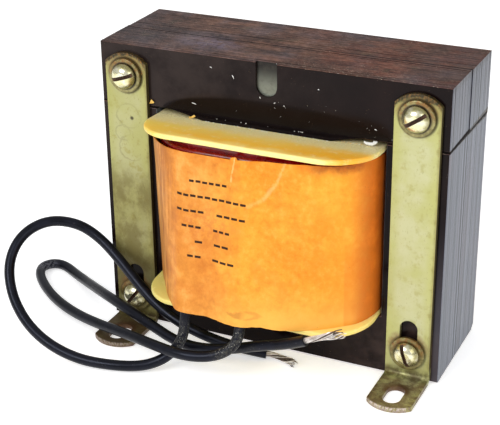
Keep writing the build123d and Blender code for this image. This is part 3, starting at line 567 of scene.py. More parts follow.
# screws, nuts and washers
M = Mat("zinc_bright", rough=0.22, metal=0.8, spec=0.5)
x, y, z = M.xyz()
n2 = M.noise(0.5, 4, 0.6)
c = M.mix(M.step(n2, 0.35, 0.65), lin(236, 232, 206), lin(222, 216, 164))
ux = M.math("SUBTRACT", M.math("ABSOLUTE", x), 47.625)
w1, w2 = M.math("SUBTRACT", z, 86.925), M.math("SUBTRACT", z, 9.925)
near = M.math("MINIMUM", M.math("ABSOLUTE", w1), M.math("ABSOLUTE", w2))
rad = M.math("SQRT", M.math("ADD", M.mul(ux, ux), M.mul(near, near)))
# painted reflection on the screw heads: the outer slope darker olive, the middle left bright
rim = M.mul(M.step(M.math("ADD", rad, M.mul(M.math("SUBTRACT", n2, 0.5), 2.2)), 2.6, 3.9), M.step(y, -20.0, -21.0))
c = M.mix(M.mul(rim, 0.72), c, lin(118, 108, 52))
slots_ = None
for sx, wz, ang, zz in ((-47.625, w1, 18.0, 1), (47.625, w1, 34.0, 1), (47.625, w2, -71.0, 0), (-47.625, w2, 53.0, 0)):
    u = M.math("SUBTRACT", x, sx)
    ca, sa = math.cos(math.radians(ang)), math.sin(math.radians(ang))
    perp = M.math("ABSOLUTE", M.math("SUBTRACT", M.mul(wz, ca), M.mul(u, sa)))
    rr_ = M.math("SQRT", M.math("ADD", M.mul(u, u), M.mul(wz, wz)))
    k = M.mul(M.step(perp, 0.64, 0.57), M.step(rr_, 4.3, 4.1), M.step(y, -22.8, -23.0))
    slots_ = k if slots_ is None else M.math("MAXIMUM", slots_, k)
dirt = M.ramp(M.noise(1.5, 4, 0.6), (0.3, lin(34, 20, 12)), (0.7, lin(92, 58, 30)))
c = M.mix(slots_, c, dirt)
c = M.mix(M.mul(M.step(M.noise(1.1, 4, 0.65, off=(3, 3, 3)), 0.62, 0.72), 0.45), c, lin(120, 92, 44))
c = M.mix(M.mul(M.step(y, 10.0, 20.0), 0.35), c, lin(190, 180, 120))
M.color(c).roughness(M.math("ADD", M.mul(slots_, 0.45), M.ramp(n2, (0.3, 0.18), (0.7, 0.30))))
M.put(M.b.inputs["Metallic"], M.math("SUBTRACT", 0.85, M.mul(slots_, 0.8)))
M.bump((M.noise(0.8, 3, 0.5), 0.015))
ZINC = M.m
M = Mat("zinc_washer", rough=0.36, metal=0.7, spec=0.4, coat=0.4, coat_rough=0.2)
x, y, z = M.xyz()
n2 = M.noise(0.5, 4, 0.6)
upz = None
for sz in (86.925, 9.925):
    k = M.mul(M.step(z, sz - 1.5, sz + 2.5), M.step(M.math("ABSOLUTE", M.math("SUBTRACT", z, sz)), 8.0, 6.0))
    upz = k if upz is None else M.math("MAXIMUM", upz, k)
c = M.mix(M.step(n2, 0.35, 0.65), lin(150, 142, 92), lin(112, 104, 60))
c = M.mix(M.mul(upz, M.step(M.noise(0.8, 4, 0.65, off=(5, 1, 2)), 0.36, 0.6), 0.85), c, lin(132, 90, 38))
ux = M.math("SUBTRACT", M.math("ABSOLUTE", x), 47.625)
near = M.math("MINIMUM", M.math("ABSOLUTE", M.math("SUBTRACT", z, 86.925)), M.math("ABSOLUTE", M.math("SUBTRACT", z, 9.925)))
rad = M.math("SQRT", M.math("ADD", M.mul(ux, ux), M.mul(near, near)))
c = M.mix(M.mul(M.step(rad, 4.75, 4.25), M.math("ADD", M.mul(M.step(z, 40.0, 60.0), 0.5), 0.4)), c, lin(34, 24, 14))
c = M.mix(M.mul(M.step(rad, 5.1, 5.5), M.step(M.noise(1.2, 3, 0.6), 0.4, 0.6), 0.6), c, lin(66, 50, 28))
M.color(c).roughness(M.ramp(n2, (0.3, 0.25), (0.7, 0.5)))
M.bump((M.noise(1.1, 3, 0.6), 0.06))
WASHER = M.m

# lead jackets: black vinyl, dusty at the exit bends
M = Mat("black_vinyl", rough=0.34, spec=0.24)
M.b.inputs["Specular Tint"].default_value = (0.72, 0.78, 1.0, 1.0)
x, y, z = M.xyz()
n1 = M.noise(0.2, 4, 0.6)
n2 = M.noise(1.6, 4, 0.7)
c = M.mix(M.step(n1, 0.35, 0.65), lin(6, 6, 9), lin(14, 14, 22))
d1 = M.math("MAXIMUM", M.mul(M.spot((-18.6, -43.0, 12.5), 2.5, 6.5), 0.8), M.spot((-0.5, -44.6, 13.5), 3.5, 8.5))
dots = M.mul(M.step(M.cells(2.1, off=(3, 3, 1)), 0.30, 0.14), M.step(y, -40.9, -42.2))
c = M.mix(M.mul(d1, dots, M.step(M.noise(0.9, 4, 0.75, off=(6, 2, 9)), 0.44, 0.58), 0.8), c, lin(206, 204, 190))
c = M.mix(M.mul(d1, M.step(M.noise(1.2, 4, 0.7, off=(2, 8, 8)), 0.40, 0.66), M.step(y, -40.9, -42.2), 0.45), c, lin(96, 94, 84))
# lighter blue-grey patches at the far turn of the right lead: dust with a painted highlight
d2 = M.spot((-95.5, -4.0, 3.0), 1.5, 6.0)
c = M.mix(M.mul(d2, M.step(n2, 0.42, 0.62), 0.4), c, lin(150, 150, 156))
lint = M.mul(M.step(M.cells(1.1, off=(1, 5, 2)), 0.12, 0.06), M.step(M.noise(0.15, 2, 0.5, off=(4, 4, 4)), 0.5, 0.65))
c = M.mix(M.mul(lint, 0.4), c, lin(170, 168, 170))
M.color(c).roughness(M.math("ADD", M.mul(d1, 0.15), M.ramp(n1, (0.3, 0.26), (0.7, 0.4))))
M.bump((M.noise(0.5, 3, 0.5), 0.05), (n2, 0.01))
VINYL = M.m
for ob in (lead_left, lead_right):
    ob.data.materials.append(VINYL)

M = Mat("tinned_strands", rough=0.34, metal=0.75, spec=0.5)
n2 = M.noise(0.8, 4, 0.65)
c = M.ramp(n2, (0.3, lin(168, 156, 146)), (0.5, lin(222, 216, 210)), (0.7, lin(248, 246, 244)))
M.color(c).roughness(M.ramp(n2, (0.3, 0.42), (0.7, 0.26)))
M.bump((M.noise(3.0, 2, 0.5), 0.03))
TIN = M.m

M = Mat("tin_shadowed", rough=0.6, metal=0.4)
c = M.ramp(M.noise(1.2, 4, 0.65), (0.3, lin(58, 46, 38)), (0.7, lin(122, 106, 92)))
M.color(c).roughness(0.6)
M.bump((M.noise(3.0, 2, 0.5), 0.03))
TIN_DARK = M.m

M = Mat("varnish_fill", rough=0.62, spec=0.06)
n1 = M.noise(0.5, 4, 0.6)
c = M.mix(M.step(n1, 0.35, 0.7), lin(10, 4, 4), lin(18, 9, 8))
c = M.mix(M.mul(M.step(M.cells(1.6), 0.16, 0.08), 0.14), c, lin(150, 120, 90))
M.color(c).roughness(M.ramp(n1, (0.3, 0.5), (0.7, 0.7)))
M.bump((M.noise(0.9, 3, 0.6), 0.04))
VARNISH = M.m

M = Mat("sleeve_white", rough=0.5)
c = M.ramp(M.noise(0.3, 4, 0.6), (0.3, lin(206, 196, 168)), (0.7, lin(236, 230, 212)))
M.color(c).roughness(M.ramp(M.noise(0.4, 3), (0.3, 0.4), (0.7, 0.6)))
M.bump((M.noise(1.0, 3, 0.6), 0.05))
SLEEVE = M.m

M = Mat("black_ink", rough=0.6, spec=0.2)
c = M.ramp(M.noise(2.0, 3, 0.6), (0.3, lin(34, 18, 10)), (0.7, lin(70, 40, 18)))
M.color(c).roughness(0.6)
M.bump((M.noise(3.0, 2), 0.01))
INK = M.m



def crumb_material(name, a, b, rough):
    M = Mat(name, rough=rough)
    M.color(M.ramp(M.noise(1.6, 3, 0.6), (0.3, a), (0.7, b))).roughness(rough)
    M.bump((M.noise(2.5, 3, 0.6), 0.06))
    return M.m


CRUMB_YELLOW = crumb_material("crumb_yellow", lin(226, 170, 60), lin(252, 214, 120), 0.5)
CRUMB_CREAM = crumb_material("crumb_cream", lin(228, 206, 150), lin(250, 240, 206), 0.5)
LINT_WHITE = crumb_material("lint_white", lin(214, 214, 210), lin(250, 250, 248), 0.7)
FLAKE = crumb_material("varnish_flake", lin(120, 76, 30), lin(196, 140, 64), 0.3)

# ---------------------------------------------------------------- geometry
def add_object(name, bm, mats, replaces=(), smooth=True, angle=35.0, recalc=True):
    if recalc:
        bmesh.ops.recalc_face_normals(bm, faces=bm.faces)
    me = bpy.data.meshes.new(name)
    bm.to_mesh(me)
    bm.free()
    for mt in mats:
        me.materials.append(mt)
    if smooth:
        me.shade_smooth()
        me.set_sharp_from_angle(angle=math.radians(angle))
    ob = bpy.data.objects.new(name, me)
    bpy.context.scene.collection.objects.link(ob)
    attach(ob, "root")
    if replaces:
        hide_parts(*replaces)
    return ob


def n3(p, seed=0.0):
    return noise.noise(Vector((p[0] + seed, p[1] - seed * 1.7, p[2] + seed * 0.6)))


def sstep(v, lo, hi):
    t = max(0.0, min(1.0, (v - lo) / (hi - lo)))
    return t * t * (3 - 2 * t)


# ------------------------------------------------------------ core plates
def inset(pts, d):
    """Polygon moved inwards by d, given counterclockwise."""
    out = []
    n = len(pts)
    for i in range(n):
        a, b, c = Vector(pts[i - 1]), Vector(pts[i]), Vector(pts[(i + 1) % n])
        e, f = (b - a).normalized(), (c - b).normalized()
        ne, nf = Vector((-e.y, e.x)), Vector((-f.y, f.x))
        k = 1.0 + ne.dot(nf)
        out.append(tuple(b + (ne + nf) * (d / max(k, 0.2))))
    return out


def circle(cx, cz, r, n=18):
    return [(cx + r * math.cos(2 * math.pi * k / n), cz + r * math.sin(2 * math.pi * k / n)) for k in range(n)]


def plate(bm, outline, holes, y0, y1, lift=None, chamfer=0.0, face_mat=0):
    """One closed plate from y0 (front) to y1. lift(x) is added to y."""
    lift = lift or (lambda x: 0.0)
    loops = [outline] + holes
    rings = []
    levels = [(y0, chamfer), (y0 + chamfer, 0.0), (y1, 0.0)] if chamfer else [(y0, 0.0), (y1, 0.0)]
    for yy, ins in levels:
        ring = []
        for li, lp in enumerate(loops):
            q = lp
            if ins:
                q = inset(lp, ins) if li == 0 else inset(lp, -ins)
            ring.append([bm.verts.new((px * MM, (yy + lift(px)) * MM, pz * MM)) for px, pz in q])
        rings.append(ring)
    for ring, flip in ((rings[0], False), (rings[-1], True)):
        flat = [v for lp in ring for v in lp]
        tri = geometry.tessellate_polygon([[Vector((v.co.x * 1000, v.co.z * 1000, 0)) for v in lp] for lp in ring])
        for t in tri:
            vs = [flat[k] for k in t]
            p, q, r = (v.co for v in vs)
            nrm = (q - p).cross(r - p)
            if (nrm.y > 0) != flip:
                vs.reverse()
            f = bm.faces.new(vs)
            f.material_index = face_mat
    for ra, rb in zip(rings, rings[1:]):
        for li, (la, lb) in enumerate(zip(ra, rb)):
            n = len(la)
            for k in range(n):
                a, b = la[k], la[(k + 1) % n]
                c, d = lb[(k + 1) % n], lb[k]
                f = bm.faces.new((a, d, c, b) if li == 0 else (a, b, c, d))
                dx, dz = abs(b.co.x - a.co.x), abs(b.co.z - a.co.z)
                f.material_index = 1 if (dz > dx or li > 0) else 2
                if face_mat == 0 and li == 0 and all(abs(v.co.x * 1000 - NX) < NW / 2 + 0.3 and v.co.z > 0.085 for v in (a, b)):
                    f.material_index = 0


rnd = random.Random(41)
HW, HD = 57.15, 19.05
E_OUT = [(-57.15, 0.4), (57.15, 0.4), (57.15, 76.6), (38.1, 76.6), (38.1, 19.45), (19.05, 19.45), (19.05, 76.6),
         (-19.05, 76.6), (-19.05, 19.45), (-38.1, 19.45), (-38.1, 76.6), (-57.15, 76.6)]


def stack(name, node, y_from, y_to, count, outline_fn, hole_pts, thick_first=0, lift_fn=None, gap_after=()):
    """count plates between y_from and y_to."""
    ys = [y_from]
    t = 0.55
    for k in range(thick_first):
        ys.append(ys[-1] + t)
    rest = count - thick_first
    p = (y_to - ys[-1]) / rest
    for k in range(rest):
        ys.append(ys[-1] + p)
    bm = bmesh.new()
    for k in range(count):
        i = rnd.uniform(0.0, 0.03) if rnd.random() < 0.88 else rnd.uniform(0.04, 0.08)
        if k == 0 or k == count - 1:
            i = 0.02
        sx, sz = rnd.uniform(-i, i), rnd.uniform(-i, i)
        out = [(px + sx, pz + sz) for px, pz in inset(outline_fn(k, ys[k]), i)]
        y0, y1 = ys[k], ys[k + 1] - 0.012
        if k in gap_after:
            y1 -= 0.11
        plate(bm, out, [circle(cx, cz, 2.4) for cx, cz in hole_pts], y0, y1, lift=(lambda px, kk=k: lift_fn(px, kk, count)) if lift_fn else None,
              chamfer=0.10 if k in (0, count - 1) else 0.0, face_mat=0 if k < 2 or k == count - 1 else 3)
    return add_object(name, bm, (CORE_FRONT, CORE_SIDE, CORE_TOP, CORE_NOTCH), (node,), smooth=False, recalc=False)


def e_outline(k, yy):
    if yy > 17.2:
        g = (yy - 17.2) / 1.5
        a, b = 0.15 + 0.45 * g, 0.3 + 1.3 * g
        return [E_OUT[0], (57.15 - a, 0.4), (57.15, 0.4 + b)] + E_OUT[2:]
    return E_OUT


NX, NW, NZ = -0.35, 6.9, 89.2


def i_front_outline(k, yy):
    base = [(-57.15, 77.4), (57.15, 77.4), (57.15, 96.45)]
    if k < 2:
        base.append((NX + NW / 2, 96.45))
        for j in range(13):
            a = -math.pi * j / 12
            base.append((NX + NW / 2 * math.cos(a), NZ + NW / 2 * math.sin(a)))
        base.append((NX - NW / 2, 96.45))
    return base + [(-57.15, 96.45)]


def i_rear_outline(k, yy):
    return [(-56.9, 77.4), (57.4, 77.4), (57.4, 96.44), (-56.9, 96.44)]


low_holes = [(-47.625, 9.925), (47.625, 9.925)]
top_holes = [(-47.625, 86.925), (47.625, 86.925)]
stack("core_e_plates", "core_e_stack", -HD, HD, 81, e_outline, low_holes, 2)
stack("core_i_front_plates", "core_i_stack_front", -HD, -0.80, 38, i_front_outline, top_holes, 2, gap_after=(1,))
stack("core_i_rear_plates", "core_i_stack_rear", -0.79, HD, 42, i_rear_outline, [(a + 0.25, b) for a, b in top_holes],
      lift_fn=lambda px, k, n: 0.16 * (px / 57.4 + 1.0) * (1.0 - k / (n - 1.0)) * (0.0 if k == n - 1 else 1.0))

# ------------------------------------------------------------------ bobbin
FL_HALF, FL_R = 37.5, (12.0, 15.5, 13.0, 13.0)


def square_ring(half, shrink):
    """Points round a square with rounded corners; shrink is how far it lies inside the flange's edge."""
    rr = [max(r - shrink, 0.2) for r in FL_R]
    pts = []
    sgn = [(-1, -1), (1, -1), (1, 1), (-1, 1)]
    for q in range(4):
        sx, sy = sgn[q]
        r = rr[q]
        cx, cy = sx * (half - r), sy * (half - r)
        a0 = [math.pi, 1.5 * math.pi, 0.0, 0.5 * math.pi][q]
        for j in range(15):
            a = a0 + 0.5 * math.pi * j / 14
            pts.append((cx + r * math.cos(a), cy + r * math.sin(a)))
        # the straight run to the next corner
        x0, y0 = pts[-1]
        nx_, ny_ = sgn[(q + 1) % 4]
        r2_ = rr[(q + 1) % 4]
        if q == 0:
            x1, y1 = half - r2_, -half
        elif q == 1:
            x1, y1 = half, half - r2_
        elif q == 2:
            x1, y1 = -half + r2_, half
        else:
            x1, y1 = -half, -half + r2_
        if q in (0, 2):
            for j in range(1, 18):
                pts.append((x0 + (x1 - x0) * j / 18, y0))
        else:
            for v in ((-19.05, -15, -8, 0, 8, 15, 19.05) if q == 1 else (19.05, 15, 8, 0, -8, -15, -19.05)):
                pts.append((x0, v))
    return pts


def bow(yv, amount):
    return amount * max(0.0, (abs(yv) - 19.05) / 18.45)


stations = []          # (half, z, bow amount)
f = 0.62
for h in (20.9, 22.2, 24.5, 27.0, 29.5, 32.0, 34.0, 35.6):
    stations.append((h, 75.6, 1.0))
for j in range(6):
    a = 0.5 * math.pi * j / 5
    stations.append((37.5 - f + f * math.sin(a), 75.6 - f + f * math.cos(a), 1.0))
for j in range(1, 6):
    a = 0.5 * math.pi * j / 5
    stations.append((37.5 - f + f * math.cos(a), 73.9 + f - f * math.sin(a), 1.0))
for h in (35.0, 31.0, 26.0, 21.4):
    stations.append((h, 73.9, 1.0))
stations.append((20.9, 73.2, 0.0))
stations.append((20.9, 48.0, 0.0))
stations.append((20.9, 21.8, 0.0))
for h in (21.4, 26.0, 31.0, 35.0):
    stations.append((h, 21.2, -1.2))
for j in range(6):
    a = 0.5 * math.pi * j / 5
    stations.append((37.5 - f + f * math.sin(a), 21.2 - f + f * math.cos(a), -1.2))
for j in range(1, 6):
    a = 0.5 * math.pi * j / 5
    stations.append((37.5 - f + f * math.cos(a), 19.5 + f - f * math.sin(a), -1.2))
for h in (34.0, 30.0, 25.0, 20.9):
    stations.append((h, 19.5, -1.2))
stations += [(19.3, 19.5, 0.0), (19.3, 48.0, 0.0), (19.3, 76.3, 0.0), (19.42, 76.4, 0.0), (20.35, 76.4, 0.0), (20.5, 76.25, 0.0), (20.5, 75.7, 0.0)]
bm = bmesh.new()
rings = []
for h, zz, b in stations:
    ring = []
    for px, py in square_ring(h, FL_HALF - h):
        dz = bow(py, b)
        if h > 24.0:
            k = sstep(h, 24.0, 35.0)
            dz += k * (0.16 * n3((px * 0.05, py * 0.05, zz * 0.01), 3.0) + 0.05 * n3((px * 0.22, py * 0.22, zz * 0.02), 8.0))
            out = 0.07 * n3((px * 0.09, py * 0.09, zz * 0.05), 5.0) - 0.04
            px, py = px * (1 + out / 37.5), py * (1 + out / 37.5)
        ring.append(bm.verts.new((px * MM, py * MM, (zz + dz) * MM)))
    rings.append(ring)
for ra, rb in zip(rings, rings[1:] + rings[:1]):
    for k in range(len(ra)):
        bm.faces.new((ra[k], ra[(k + 1) % len(ra)], rb[(k + 1) % len(ra)], rb[k]))
add_object("bobbin_moulding", bm, (NYLON,), ("bobbin",), angle=40)


# ----------------------------------------------------------------- tubes
def tube(bm, pts, radii, sides=10, start=0.0, mat=0):
    """A closed tube through pts (mm). radii is one number or one a point."""
    pts = [Vector(p) for p in pts]
    if not hasattr(radii, "__len__"):
        radii = [radii] * len(pts)
    t0 = (pts[1] - pts[0]).normalized()
    nrm = t0.orthogonal().normalized()
    rings = []
    for i, p in enumerate(pts):
        t = ((pts[min(i + 1, len(pts) - 1)] - p) + (p - pts[max(i - 1, 0)])).normalized()
        nrm = (nrm - t * nrm.dot(t)).normalized()
        bi = t.cross(nrm)
        rings.append([bm.verts.new((p + (nrm * math.cos(start + 2 * math.pi * k / sides) + bi * math.sin(start + 2 * math.pi * k / sides)) * radii[i]) * MM)
                      for k in range(sides)])
    for ra, rb in zip(rings, rings[1:]):
        for k in range(sides):
            f_ = bm.faces.new((ra[k], ra[(k + 1) % sides], rb[(k + 1) % sides], rb[k]))
            f_.material_index = mat
    for ring, p, s in ((rings[0], pts[0], -1), (rings[-1], pts[-1], 1)):
        for vs in (ring,):
            f_ = bm.faces.new(vs if s > 0 else list(reversed(vs)))
            f_.material_index = mat


def round_path(hx, hy, r, per_corner=12, per_side=6):
    pts = []
    for q, (sx, sy) in enumerate(((-1, -1), (1, -1), (1, 1), (-1, 1))):
        cx, cy = sx * (hx - r), sy * (hy - r)
        a0 = [math.pi, 1.5 * math.pi, 0.0, 0.5 * math.pi][q]
        for j in range(per_corner + 1):
            a = a0 + 0.5 * math.pi * j / per_corner
            pts.append((cx + r * math.cos(a), cy + r * math.sin(a)))
        nxt = ((1, -1), (1, 1), (-1, 1), (-1, -1))[q]
        ax, ay = nxt[0] * (hx - r), nxt[1] * (hy - r)
        b = (ax + r * math.cos(a0 + 0.5 * math.pi), ay + r * math.sin(a0 + 0.5 * math.pi))
        for j in range(1, per_side):
            pts.append((pts[-1][0] + (b[0] - pts[-1][0]) / (per_side - j + 1), pts[-1][1] + (b[1] - pts[-1][1]) / (per_side - j + 1)))
    return pts


# winding: the outer layer is one wire wound round and round, the layers under it a solid ring
WIRE = 2.36
bm = bmesh.new()
loop = round_path(36.2 - WIRE / 2, 35.0 - WIRE / 2, 19.0 - WIRE / 2)
turns = 22
z0 = 21.3 + WIRE / 2
pitch = (73.75 - 21.3 - WIRE) / turns
pts = []
for tnum in range(turns):
    for k, (px, py) in enumerate(loop):
        frac = k / len(loop)
        wob = 0.10 * n3((px * 0.06, py * 0.06, tnum * 0.7), 2.0)
        pts.append((px - wob * px / 36.0, py - abs(wob) * py / 36.0, z0 + pitch * (tnum + frac)))
tube(bm, pts, WIRE / 2, sides=8)
ro = round_path(34.6, 33.4, 17.4)
ri = round_path(20.95, 20.95, 0.3)
rings = []
for path_, zz in ((ro, 21.35), (ro, 73.7), (ri, 73.7), (ri, 21.35)):
    rings.append([bm.verts.new((px * MM, py * MM, zz * MM)) for px, py in path_])
for ra, rb in zip(rings, rings[1:] + rings[:1]):
    for k in range(len(ra)):
        bm.faces.new((ra[k], ra[(k + 1) % len(ra)], rb[(k + 1) % len(ra)], rb[k]))


def beyond(a, b, d):
    a, b = Vector(a), Vector(b)
    return b + (b - a).normalized() * d


for first, lead, end in ((2.76, LEAD_LEFT, (-18.95, -37.45, 36.5)), (2.76, LEAD_RIGHT, (0.3, -37.6, 37.5))):
    s0 = beyond(lead[1], lead[0], first)
    b = Vector(end)
    d = (b - s0).normalized()
    p1 = b + d * 3.0
    p2 = Vector((p1.x, -34.0, p1.z + 3.2))
    path_ = [b + d * 0.05, b + d * 1.5, b + d * 2.5, p1 + (p2 - p1) * 0.12, p1 + (p2 - p1) * 0.5, p2]
    tube(bm, path_, 0.93, sides=10)
add_object("winding_turns", bm, (ENAMEL,), ("winding",), angle=60)

# -------------------------------------------------------------------- wrap
WRAP_HALF, WRAP_BACK, WRAP_T, CORNER = 37.3, 35.95, 0.45, 19.9
WZ0, WZ1 = 19.6, 73.8
WRAP_LOW = [(-37.15, -20.2), (-36.3, -23.0), (-33.4, -27.3), (-30.6, -31.7), (-27.4, -36.0), (-24.6, -39.2),
            (-21.6, -41.9), (-18.5, -42.5), (-15.5, -42.2), (-12.2, -41.8), (-9.2, -42.1),
            (-5.7, -43.2), (-2.6, -43.9), (0.2, -43.9), (2.9, -43.1), (5.8, -41.6), (8.4, -41.2),
            (10.8, -41.1), (13.5, -40.4), (16.8, -39.1), (22.2, -36.9), (26.95, -33.9), (30.9, -30.9),
            (33.6, -28.5), (35.6, -24.9), (36.85, -21.0)]
WRAP_TOP = [(-37.2, -20.4), (-36.7, -23.6), (-35.0, -28.2), (-31.5, -32.0), (-27.4, -34.6), (-23.1, -35.9),
            (-20.5, -36.2), (-17.8, -36.3), (-14.8, -36.2), (-12.2, -36.1), (-9.7, -36.0),
            (-5.7, -35.85), (-2.6, -35.8), (0.2, -35.75), (3.4, -35.7), (6.6, -35.75), (9.6, -35.8),
            (12.4, -35.9), (15.0, -35.95), (18.0, -35.85), (22.6, -35.2), (27.2, -33.4), (31.5, -30.1),
            (33.8, -27.3), (35.6, -24.1), (36.85, -20.7)]


def spline(params, values):
    """Natural cubic spline through values at params; returns a function."""
    n = len(params)
    h = [params[i + 1] - params[i] for i in range(n - 1)]
    a = [0.0] * n
    cp, dp = [0.0] * n, [0.0] * n
    for i in range(1, n - 1):
        lo, di, hi = h[i - 1], 2 * (h[i - 1] + h[i]), h[i]
        rhs = 6 * ((values[i + 1] - values[i]) / h[i] - (values[i] - values[i - 1]) / h[i - 1])
        w = di - lo * cp[i - 1]
        cp[i] = hi / w
        dp[i] = (rhs - lo * dp[i - 1]) / w
    for i in range(n - 2, 0, -1):
        a[i] = dp[i] - cp[i] * a[i + 1]

    def at(t):
        i = 0
        while i < n - 2 and t > params[i + 1]:
            i += 1
        u, v = params[i + 1] - t, t - params[i]
        return ((a[i] * u ** 3 + a[i + 1] * v ** 3) / (6 * h[i]) + (values[i] / h[i] - a[i] * h[i] / 6) * u
                + (values[i + 1] / h[i] - a[i + 1] * h[i] / 6) * v)
    return at


low_pts = [(-WRAP_HALF, -18.0)] + WRAP_LOW + [(WRAP_HALF, -18.0)]
top_pts = [(-WRAP_HALF, -18.0)] + WRAP_TOP + [(WRAP_HALF, -18.0)]
par = [0.0]
for i in range(1, len(low_pts)):
    par.append(par[-1] + 0.5 * math.dist(low_pts[i], low_pts[i - 1]) + 0.5 * math.dist(top_pts[i], top_pts[i - 1]))
par = [v / par[-1] for v in par]
sp = [spline(par, [p[k] for p in pp]) for pp in (low_pts, top_pts) for k in (0, 1)]
N_FRONT = 230
outline = []           # pairs of (x, y) at WZ0 and WZ1
for k in range(N_FRONT + 1):
    t = k / N_FRONT
    outline.append(((sp[0](t), sp[1](t)), (sp[2](t), sp[3](t))))
rest = []
for k in range(1, 15):
    rest.append((WRAP_HALF, -18.0 + (WRAP_BACK - CORNER + 18.0) * k / 14))
for k in range(1, 25):
    a = 0.5 * math.pi * k / 24
    rest.append((WRAP_HALF - CORNER + CORNER * math.cos(a), WRAP_BACK - CORNER + CORNER * math.sin(a)))
for k in range(1, 15):
    rest.append((WRAP_HALF - CORNER - 2 * (WRAP_HALF - CORNER) * k / 14, WRAP_BACK))
for k in range(1, 25):
    a = 0.5 * math.pi * (1 + k / 24)
    rest.append((-WRAP_HALF + CORNER + CORNER * math.cos(a), WRAP_BACK - CORNER + CORNER * math.sin(a)))
for k in range(1, 14):
    rest.append((-WRAP_HALF, WRAP_BACK - CORNER - (WRAP_BACK - CORNER + 18.0) * k / 14))
outline += [(p, p) for p in rest]
NS = len(outline)


def wrap_ruling(i, zz):
    (ax, ay), (bx, by) = outline[i % NS]
    w = (zz - WZ0) / (WZ1 - WZ0)
    return Vector((ax + (bx - ax) * w, ay + (by - ay) * w))


def seg_dist(px, pz, a, b):
    d = (b[0] - a[0], b[1] - a[1])
    l2 = d[0] ** 2 + d[1] ** 2
    t = max(0.0, min(1.0, ((px - a[0]) * d[0] + (pz - a[1]) * d[1]) / l2))
    return math.hypot(px - a[0] - t * d[0], pz - a[1] - t * d[1])


CREASES = [((-2.9, 73.5), (-4.4, 61.5), 0.20), ((13.1, 73.5), (10.6, 66.3), 0.16), ((10.6, 66.3), (6.3, 60.5), 0.14),
           ((6.3, 60.5), (1.3, 57.7), 0.10), ((-22.3, 73.5), (-23.5, 55.0), 0.08), ((26.0, 70.0), (29.0, 40.0), 0.06)]


def wrap_offset(px, py, zz):
    """How far the paper's outer surface lies inside the plain outline (mm)."""
    front = sstep(-py, 19.0, 27.0)
    d = 0.05 + 0.10 * (1 + n3((px * 0.06, py * 0.06, zz * 0.045), 4.0)) + 0.035 * (1 + n3((px * 0.25, py * 0.25, zz * 0.12), 6.0))
    if front > 0:
        for a, b, depth in CREASES:
            q = seg_dist(px, zz, a, b)
            if q < 2.5:
                d += front * depth * (math.exp(-(q / 0.35) ** 2) - 0.45 * math.exp(-((q - 0.9) / 0.45) ** 2))
        # the outer ply starts at a seam
        seam = -3.1 - 0.1 * (73 - zz) / 1.0 * 0.12
        d += front * 0.10 * (1 - sstep(px, seam - 0.12, seam + 0.12)) * sstep(zz, 52.0, 62.0)
        d += front * 0.05 * (1 + n3((px * 0.35, 0, zz * 0.03), 9.0)) * sstep(-px, 20.0, 27.0)
    return max(d, 0.0)


def wrap_surface(i, zz, depth=0.0):
    p = wrap_ruling(i, zz)
    t = wrap_ruling(i + 1, zz) - wrap_ruling(i - 1, zz)
    t.normalize()
    nrm = Vector((t.y, -t.x))            # outwards: the outline runs counterclockwise
    q = p - nrm * (wrap_offset(p.x, p.y, zz) + depth)
    return Vector((q.x, q.y, zz)), Vector((nrm.x, nrm.y, 0.0))


def flange_inside(px, py):
    """How far inside the low flange's outline a point is (mm)."""
    q = 0 if (px < 0 and py < 0) else 1 if (px >= 0 and py < 0) else 2 if px >= 0 else 3
    r = FL_R[q]
    ax, ay = abs(px), abs(py)
    cx, cy = FL_HALF - r, FL_HALF - r
    if ax > cx and ay > cy:
        return r - math.hypot(ax - cx, ay - cy)
    return min(FL_HALF - ax, FL_HALF - ay)


def wrap_edges(i):
    p = wrap_ruling(i, 21.0)
    on = 21.2 + 0.06 - 1.2 * max(0.0, (abs(p.y) - 19.05) / 18.45)
    w = sstep(flange_inside(p.x, p.y), -0.15, -0.75)
    w = 1.0 - sstep(flange_inside(p.x, p.y), -0.75, -0.15)
    hang = 19.75 + 0.28 * (0.5 + 0.5 * n3((p.x * 0.16, p.y * 0.16, 0.0), 12.0)) + 0.12 * n3((p.x * 0.6, p.y * 0.6, 0.0), 13.0)
    zl = on * (1 - w) + max(hang, 19.62) * w
    q = wrap_ruling(i, 72.0)
    zh = 71.4 + 2.05 * max(0.0, min(1.0, (q.x + 5.0) / 25.0))
    zh += -0.10 + 0.14 * n3((q.x * 0.15, q.y * 0.15, 0.0), 21.0) + 0.05 * n3((q.x * 0.9, q.y * 0.9, 0.0), 22.0)
    if q.y < -20:
        zh += 0.75 * sstep(q.x, -4.6, -4.2) * (1 - sstep(q.x, -2.7, -2.4))
    return zl, min(zh, 73.44)


NZW = 54
bm = bmesh.new()
outer_g, inner_g = [], []
for i in range(NS):
    zl, zh = wrap_edges(i)
    co, ci = [], []
    for j in range(NZW + 1):
        w = j / NZW
        zz = zl + (zh - zl) * w
        edge = 0.10 * (max(0.0, 1 - w * NZW / 1.0) + max(0.0, 1 - (1 - w) * NZW / 1.0))
        po, nn = wrap_surface(i, zz, edge)
        pi_, nn = wrap_surface(i, zz, WRAP_T - 0.04 - edge * 0.5)
        co.append(bm.verts.new(po * MM))
        ci.append(bm.verts.new(pi_ * MM))
    outer_g.append(co)
    inner_g.append(ci)
for i in range(NS):
    k = (i + 1) % NS
    for j in range(NZW):
        bm.faces.new((outer_g[i][j], outer_g[k][j], outer_g[k][j + 1], outer_g[i][j + 1]))
        bm.faces.new((inner_g[i][j], inner_g[i][j + 1], inner_g[k][j + 1], inner_g[k][j]))
    bm.faces.new((outer_g[i][0], inner_g[i][0], inner_g[k][0], outer_g[k][0]))
    bm.faces.new((outer_g[i][NZW], outer_g[k][NZW], inner_g[k][NZW], inner_g[i][NZW]))
add_object("wrap_paper_band", bm, (KRAFT,), ("outer_wrap",), angle=50, recalc=False)


